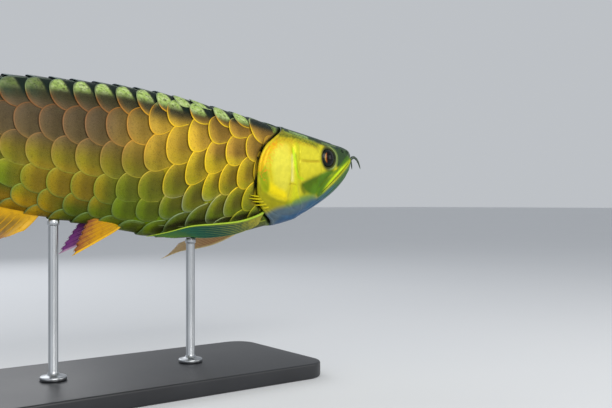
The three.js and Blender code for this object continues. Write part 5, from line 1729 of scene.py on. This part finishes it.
@dataclass
class Fins:
    """All seven fins."""

    body: Body
    warm: tuple[tuple[str, str], ...] = (("root", "c09204"), ("web", "7c6018"), ("ray", "b8861a"), ("edge", "5c3048"))
    root_ends: tuple[tuple[Sequence[float], Sequence[float]], ...] = (
        ((131.5, 7.2), (140.5, 8.4)), ((128, 4.8), (142, 5.6)), ((125, 2.4), (137, 2.6)), ((121, -0.2), (134, -0.9)),
        ((117.5, -2.8), (125, -3.8)),
    )

    def root_line(self, side: int, start: Sequence[float], end: Sequence[float]) -> Points:
        """Returns: a short line along the body, given by [back, up] ends, for a bony fin base."""
        t = np.linspace(0, 1, 12)[:, None]
        back, up = (np.array(start) * (1 - t) + np.array(end) * t).T
        girth = self.body.share_at(back, up) / 2
        lift = 0.1 + 1.3 * np.sin(np.linspace(0.15, 0.98, 12) * math.pi)
        return self.body.lifted(back, girth, lift) * [1, side, 1]

    def build(self) -> list[bpy.types.Object]:
        """Returns: the fins."""
        warm = dict(self.warm)
        skins = {
            "dorsal_skin": warm | {"root": "6d6a24", "web": "6c5c48", "lead": "8a7a30"},
            "anal_skin": warm | {"lead": "c79a20"},
            "tail_skin": warm | {"edge": "7a2a58", "lead": "b8862a"},
            # the near pectoral fin's dark teal web and rays are painted shade and blue light; the far fin keeps pale
            # fin colours
            "near_pectoral_skin": {"root": "b4a808", "web": "123f3a", "ray": "1f5c44", "edge": "5a7a20",
                "lead": "9ab434"},
            "far_pectoral_skin": {"root": "c8b010", "web": "ac7c50", "ray": "e0bc88", "edge": "d8bc8c",
                "lead": "ecd89c"},
            # the far pelvic fin is painted in shade, dark purple, a shaded copy of the near fin's warm orange
            "pelvic_skin_left": {"root": "a86a28", "web": "4c2050", "ray": "9a5c8c", "edge": "6a2c74",
                "lead": "b088a8"},
            "pelvic_skin_right": {"root": "b4a004", "web": "ac7c06", "ray": "c08c08", "edge": "7c4426",
                "lead": "d8a820"},
        }
        finish = {name: FinFinish(name, **tones) for name, tones in skins.items()}
        dorsal = MidlineFin(
            364, 443, self.body.back_line, 1, 2.5,
            ((0, 15), (0.12, 33), (0.3, 47), (0.6, 51), (0.85, 51), (1, 46)), ((0, 46), (1, 64)))
        anal = MidlineFin(
            331, 451, self.body.belly_line, -1, -3,
            ((0, 17), (0.07, 30), (0.2, 44), (0.5, 49), (0.85, 49), (1, 44)), ((0, 36), (0.5, 50), (1, 66)))
        fins = [
            Fin("dorsal_fin", "median_fin", finish["dorsal_skin"], dorsal, 19, 0.85),
            Fin("anal_fin", "median_fin", finish["anal_skin"], anal, 26, 0.85),
            Fin("caudal_fin", "median_fin", finish["tail_skin"], TailFin(), 17, 1.15, root_web=9.0),
        ]
        for side, sign, seen in (
            (Side.RIGHT, -1, "near_pectoral_skin"), (Side.LEFT, 1, "far_pectoral_skin")):
            fins.append(Fin(
                "pectoral_fin_" + side.name.lower(), "paired_fin", finish[seen], side.value, 8, 0.8,
                root_web=2.0, lead_factor=1.9,
                root_lines=tuple(self.root_line(sign, *ends) for ends in self.root_ends)))
        for sign, label in BOTH_SIDES:
            fins.append(Fin(
                "pelvic_fin_" + label, "paired_fin", finish["pelvic_skin_" + label], pelvic(sign), 7, 0.75,
                lead_factor=1.4))
        return [fin.build() for fin in fins]


@dataclass
class Barbels:
    """Two tapered whiskers on the chin that arch forward and droop."""

    spine: Pairs = ((4, 2.6, 44), (0, 3.2, 47.5), (-3, 4, 49.6), (-6.4, 5.2, 47.6), (-9, 6.2, 42.5), (-10.4, 7, 37))
    root: float = 1.7
    tip: float = 0.35
    steps: int = 44
    sides: int = 20

    def build(self) -> list[bpy.types.Object]:
        """Returns: both barbels."""
        finish = PlainFinish("barbel", "12211f", "3c4c3a", 0.36, grain=1400).make()
        t = np.linspace(0, 1, self.steps + 1)
        rings, round_tip = 1 + 0.05 * np.sin(t * 46), np.sqrt(np.clip((1 - t) * 14, 0.04, 1))
        radius = (self.root * (1 - t) ** 0.8 + self.tip) * rings * round_tip
        pieces = []
        for side, label in BOTH_SIDES:
            spots = spline(np.array(self.spine) * [1, side, 1])(t)
            seed = piece_from("barbel_line_" + label, in_frame(spots), [], [(i, i + 1) for i in range(self.steps)])
            keep(seed, thick=radius * MM)
            piece = smoothed(TUBES.make("whisker_" + label, seed, {"Sides": self.sides, "Material": finish}))
            pieces.append(settle(piece, "barbel", ("barbel_" + label,)))
        return pieces


@dataclass
class Stand:
    """A flat base with rounded corners and two slim rods, each with a foot flange."""

    body: Body
    length: float = 330.0
    width: float = 150.0
    thickness: float = 14.0
    corner: float = 22.0
    bevel: float = 2.0
    rod_backs: tuple[float, float] = (190.0, 318.0)
    gap: float = 0.3
    rod_sides: int = 64
    crease: float = 48.0
    arc_steps: int = 13
    bevel_steps: int = 7
    foot: Pairs = (
        (0.01, 0), (10.6, 0), (11, 0.4), (11, 2.4), (10.8, 2.9), (10.2, 3.3), (9.5, 3.5), (6.6, 3.9), (5.4, 4.6),
        (4.8, 5.6), (4.3, 6.2), (4, 7),
    )
    head: Pairs = (
        (4, -5.2), (4.5, -5), (4.9, -4.4), (5, -3), (4.9, -1), (4.5, -0.4), (4, 0), (0.01, 0),
    )

    def base(self) -> bpy.types.Object:
        """Returns: the base, with every edge rounded."""
        turn = np.linspace(0, math.pi / 2, self.arc_steps)
        bend = np.linspace(0, math.pi / 2, self.bevel_steps)
        inset = np.append(self.bevel * (1 - np.sin(bend)), 0.0)
        rise = np.append(self.bevel * (1 - np.cos(bend)), self.thickness / 2)
        levels = list(zip(inset, rise)) + [(i, self.thickness - z) for i, z in zip(inset[-2::-1], rise[-2::-1])]
        rings = []
        for shrink, level in levels:
            radius = self.corner - shrink
            for quarter, (sx, sy) in enumerate(((1, 1), (-1, 1), (-1, -1), (1, -1))):
                cx, cy = sx * (self.length / 2 - self.corner), sy * (self.width / 2 - self.corner)
                angle = turn + quarter * math.pi / 2
                height = np.full(self.arc_steps, level)
                rings.append(np.stack([cx + radius * np.cos(angle), cy + radius * np.sin(angle), height], axis=1))
        piece = piece_from("base_plate", np.vstack(rings) * MM, capped_faces(len(levels), 4 * self.arc_steps))
        finish = PlainFinish("stand_black", "15161a", "24262a", 0.42, grain=2600, depth=0.00006).make()
        return settle(piece, "stand_base", ("stand_base",), finish)

    def rod(self, back: float, label: str, finish: bpy.types.Material) -> bpy.types.Object:
        """Returns: one rod, turned with its flange, reaching up to the belly."""
        low = self.thickness + self.gap
        top = LEVEL_Z + float(Profile(self.body.belly_line)(back)) - 0.1
        profile = [(radius, low + z) for radius, z in self.foot] + [(radius, top + z) for radius, z in self.head]
        turn = np.linspace(0, 2 * math.pi, self.rod_sides, endpoint=False)
        spots = np.vstack([
            np.stack([CHIN_X - back + radius * np.cos(turn), radius * np.sin(turn), np.full(self.rod_sides, z)],
                axis=1)
            for radius, z in profile]) * MM
        piece = piece_from("rod_" + label, spots, capped_faces(len(profile), self.rod_sides))
        return settle(piece, "stand_rod", ("stand_rod_" + label,), finish)

    def build(self) -> list[bpy.types.Object]:
        """Returns: the base and both rods."""
        steel = PlainFinish("brushed_steel", "b4b7ba", "989ca0", 0.3, 1.0, 420, (1.0, 1.0, 14.0), 0.00005).make()
        rods = [self.rod(back, label, steel) for back, label in zip(self.rod_backs, ("front", "rear"))]
        pieces = [self.base(), *rods]
        for piece in pieces:
            piece.data.set_sharp_from_angle(angle=math.radians(self.crease))
        return pieces


def aimed(name: str, data: Any, place: Sequence[float], look: Vector) -> bpy.types.Object:
    """Returns: a light or camera in the scene that looks the given way."""
    holder = shown(name, data)
    holder.location = place
    holder.rotation_euler = look.to_track_quat("-Z", "Y").to_euler()
    return holder


@dataclass(frozen=True)
class Lamp:
    """A soft square light."""

    name: str
    place: tuple[float, float, float]
    aim: tuple[float, float, float]
    size: float
    power: float
    tone: tuple[float, float, float] = (1.0, 1.0, 1.0)

    def light(self) -> None:
        """Sets the light up."""
        data = bpy.data.lights.new(self.name, "AREA")
        data.size, data.energy, data.color = self.size, self.power, self.tone
        aimed(self.name, data, self.place, Vector(self.aim) - Vector(self.place))


@dataclass
class Studio:
    """The pale floor, soft lights and camera."""

    camera_place: tuple[float, float, float] = (-0.2964, -0.6570, 0.160)
    camera_turn: float = 36.7
    lens: float = 47.06
    sensor: float = 36.0
    floor_reach: float = 30.0
    sky: tuple[float, float, float, float] = (0.88, 0.92, 0.97, 1)
    sky_strength: float = 0.58
    lamps: tuple[Lamp, ...] = (
        Lamp("key", (-0.15, -1.3, 0.85), (0.0, 0.0, 0.15), 1.0, 17, (1.0, 0.98, 0.94)),
        Lamp("head_light", (0.9, -0.75, 0.4), (0.2, 0.0, 0.17), 0.5, 1.7, (1.0, 0.97, 0.9)),
        Lamp("fill", (-1.4, -0.7, 0.3), (0.0, 0.0, 0.13), 1.2, 3, (0.97, 0.98, 1.0)),
        Lamp("back_light", (0.0, 1.3, 0.9), (0.0, 0.0, 0.2), 1.0, 6, (0.97, 0.98, 1.0)),
    )

    def camera(self) -> None:
        """Sets the camera at the photograph's angle."""
        data = bpy.data.cameras.new("camera")
        data.lens, data.sensor_width = self.lens, self.sensor
        angle = math.radians(self.camera_turn)
        look = Vector((math.sin(angle), math.cos(angle), 0))
        bpy.context.scene.camera = aimed("camera", data, self.camera_place, look)

    def floor(self) -> None:
        """Lays the floor."""
        corners = np.array([[-1, -1, 0], [1, -1, 0], [1, 1, 0], [-1, 1, 0]]) * self.floor_reach
        floor = piece_from("floor", corners, [(0, 1, 2, 3)])
        f = Finish("floor")
        tone = f.mix(f.noise(3, 3, 0.5) * 0.4, "d4d6d9", "dcddde")
        floor.data.materials.append(f.close(Base_Color=tone, Roughness=0.7))

    def build(self) -> None:
        """Sets up floor, lights, world and camera."""
        self.camera()
        self.floor()
        for lamp in self.lamps:
            lamp.light()
        world = bpy.data.worlds.new("studio")
        world.use_nodes = True
        sockets = world.node_tree.nodes["Background"].inputs
        sockets["Color"].default_value, sockets["Strength"].default_value = self.sky, self.sky_strength
        bpy.context.scene.world = world
        bpy.context.scene.view_settings.view_transform = "Standard"


TUBES = Fin.recipe()


def main() -> None:
    """Builds the studio and the fish."""
    logging.basicConfig(level=logging.INFO, format="%(message)s")
    Studio().build()
    body = Body()
    Skin(body).build()
    Coat(body).build()
    eye = EyeFinish().make()
    for side, label in BOTH_SIDES:
        Eye(body).build(side, label, eye)
    Fins(body).build()
    Barbels().build()
    Stand(body).build()


if __name__ == "__main__":
    main()
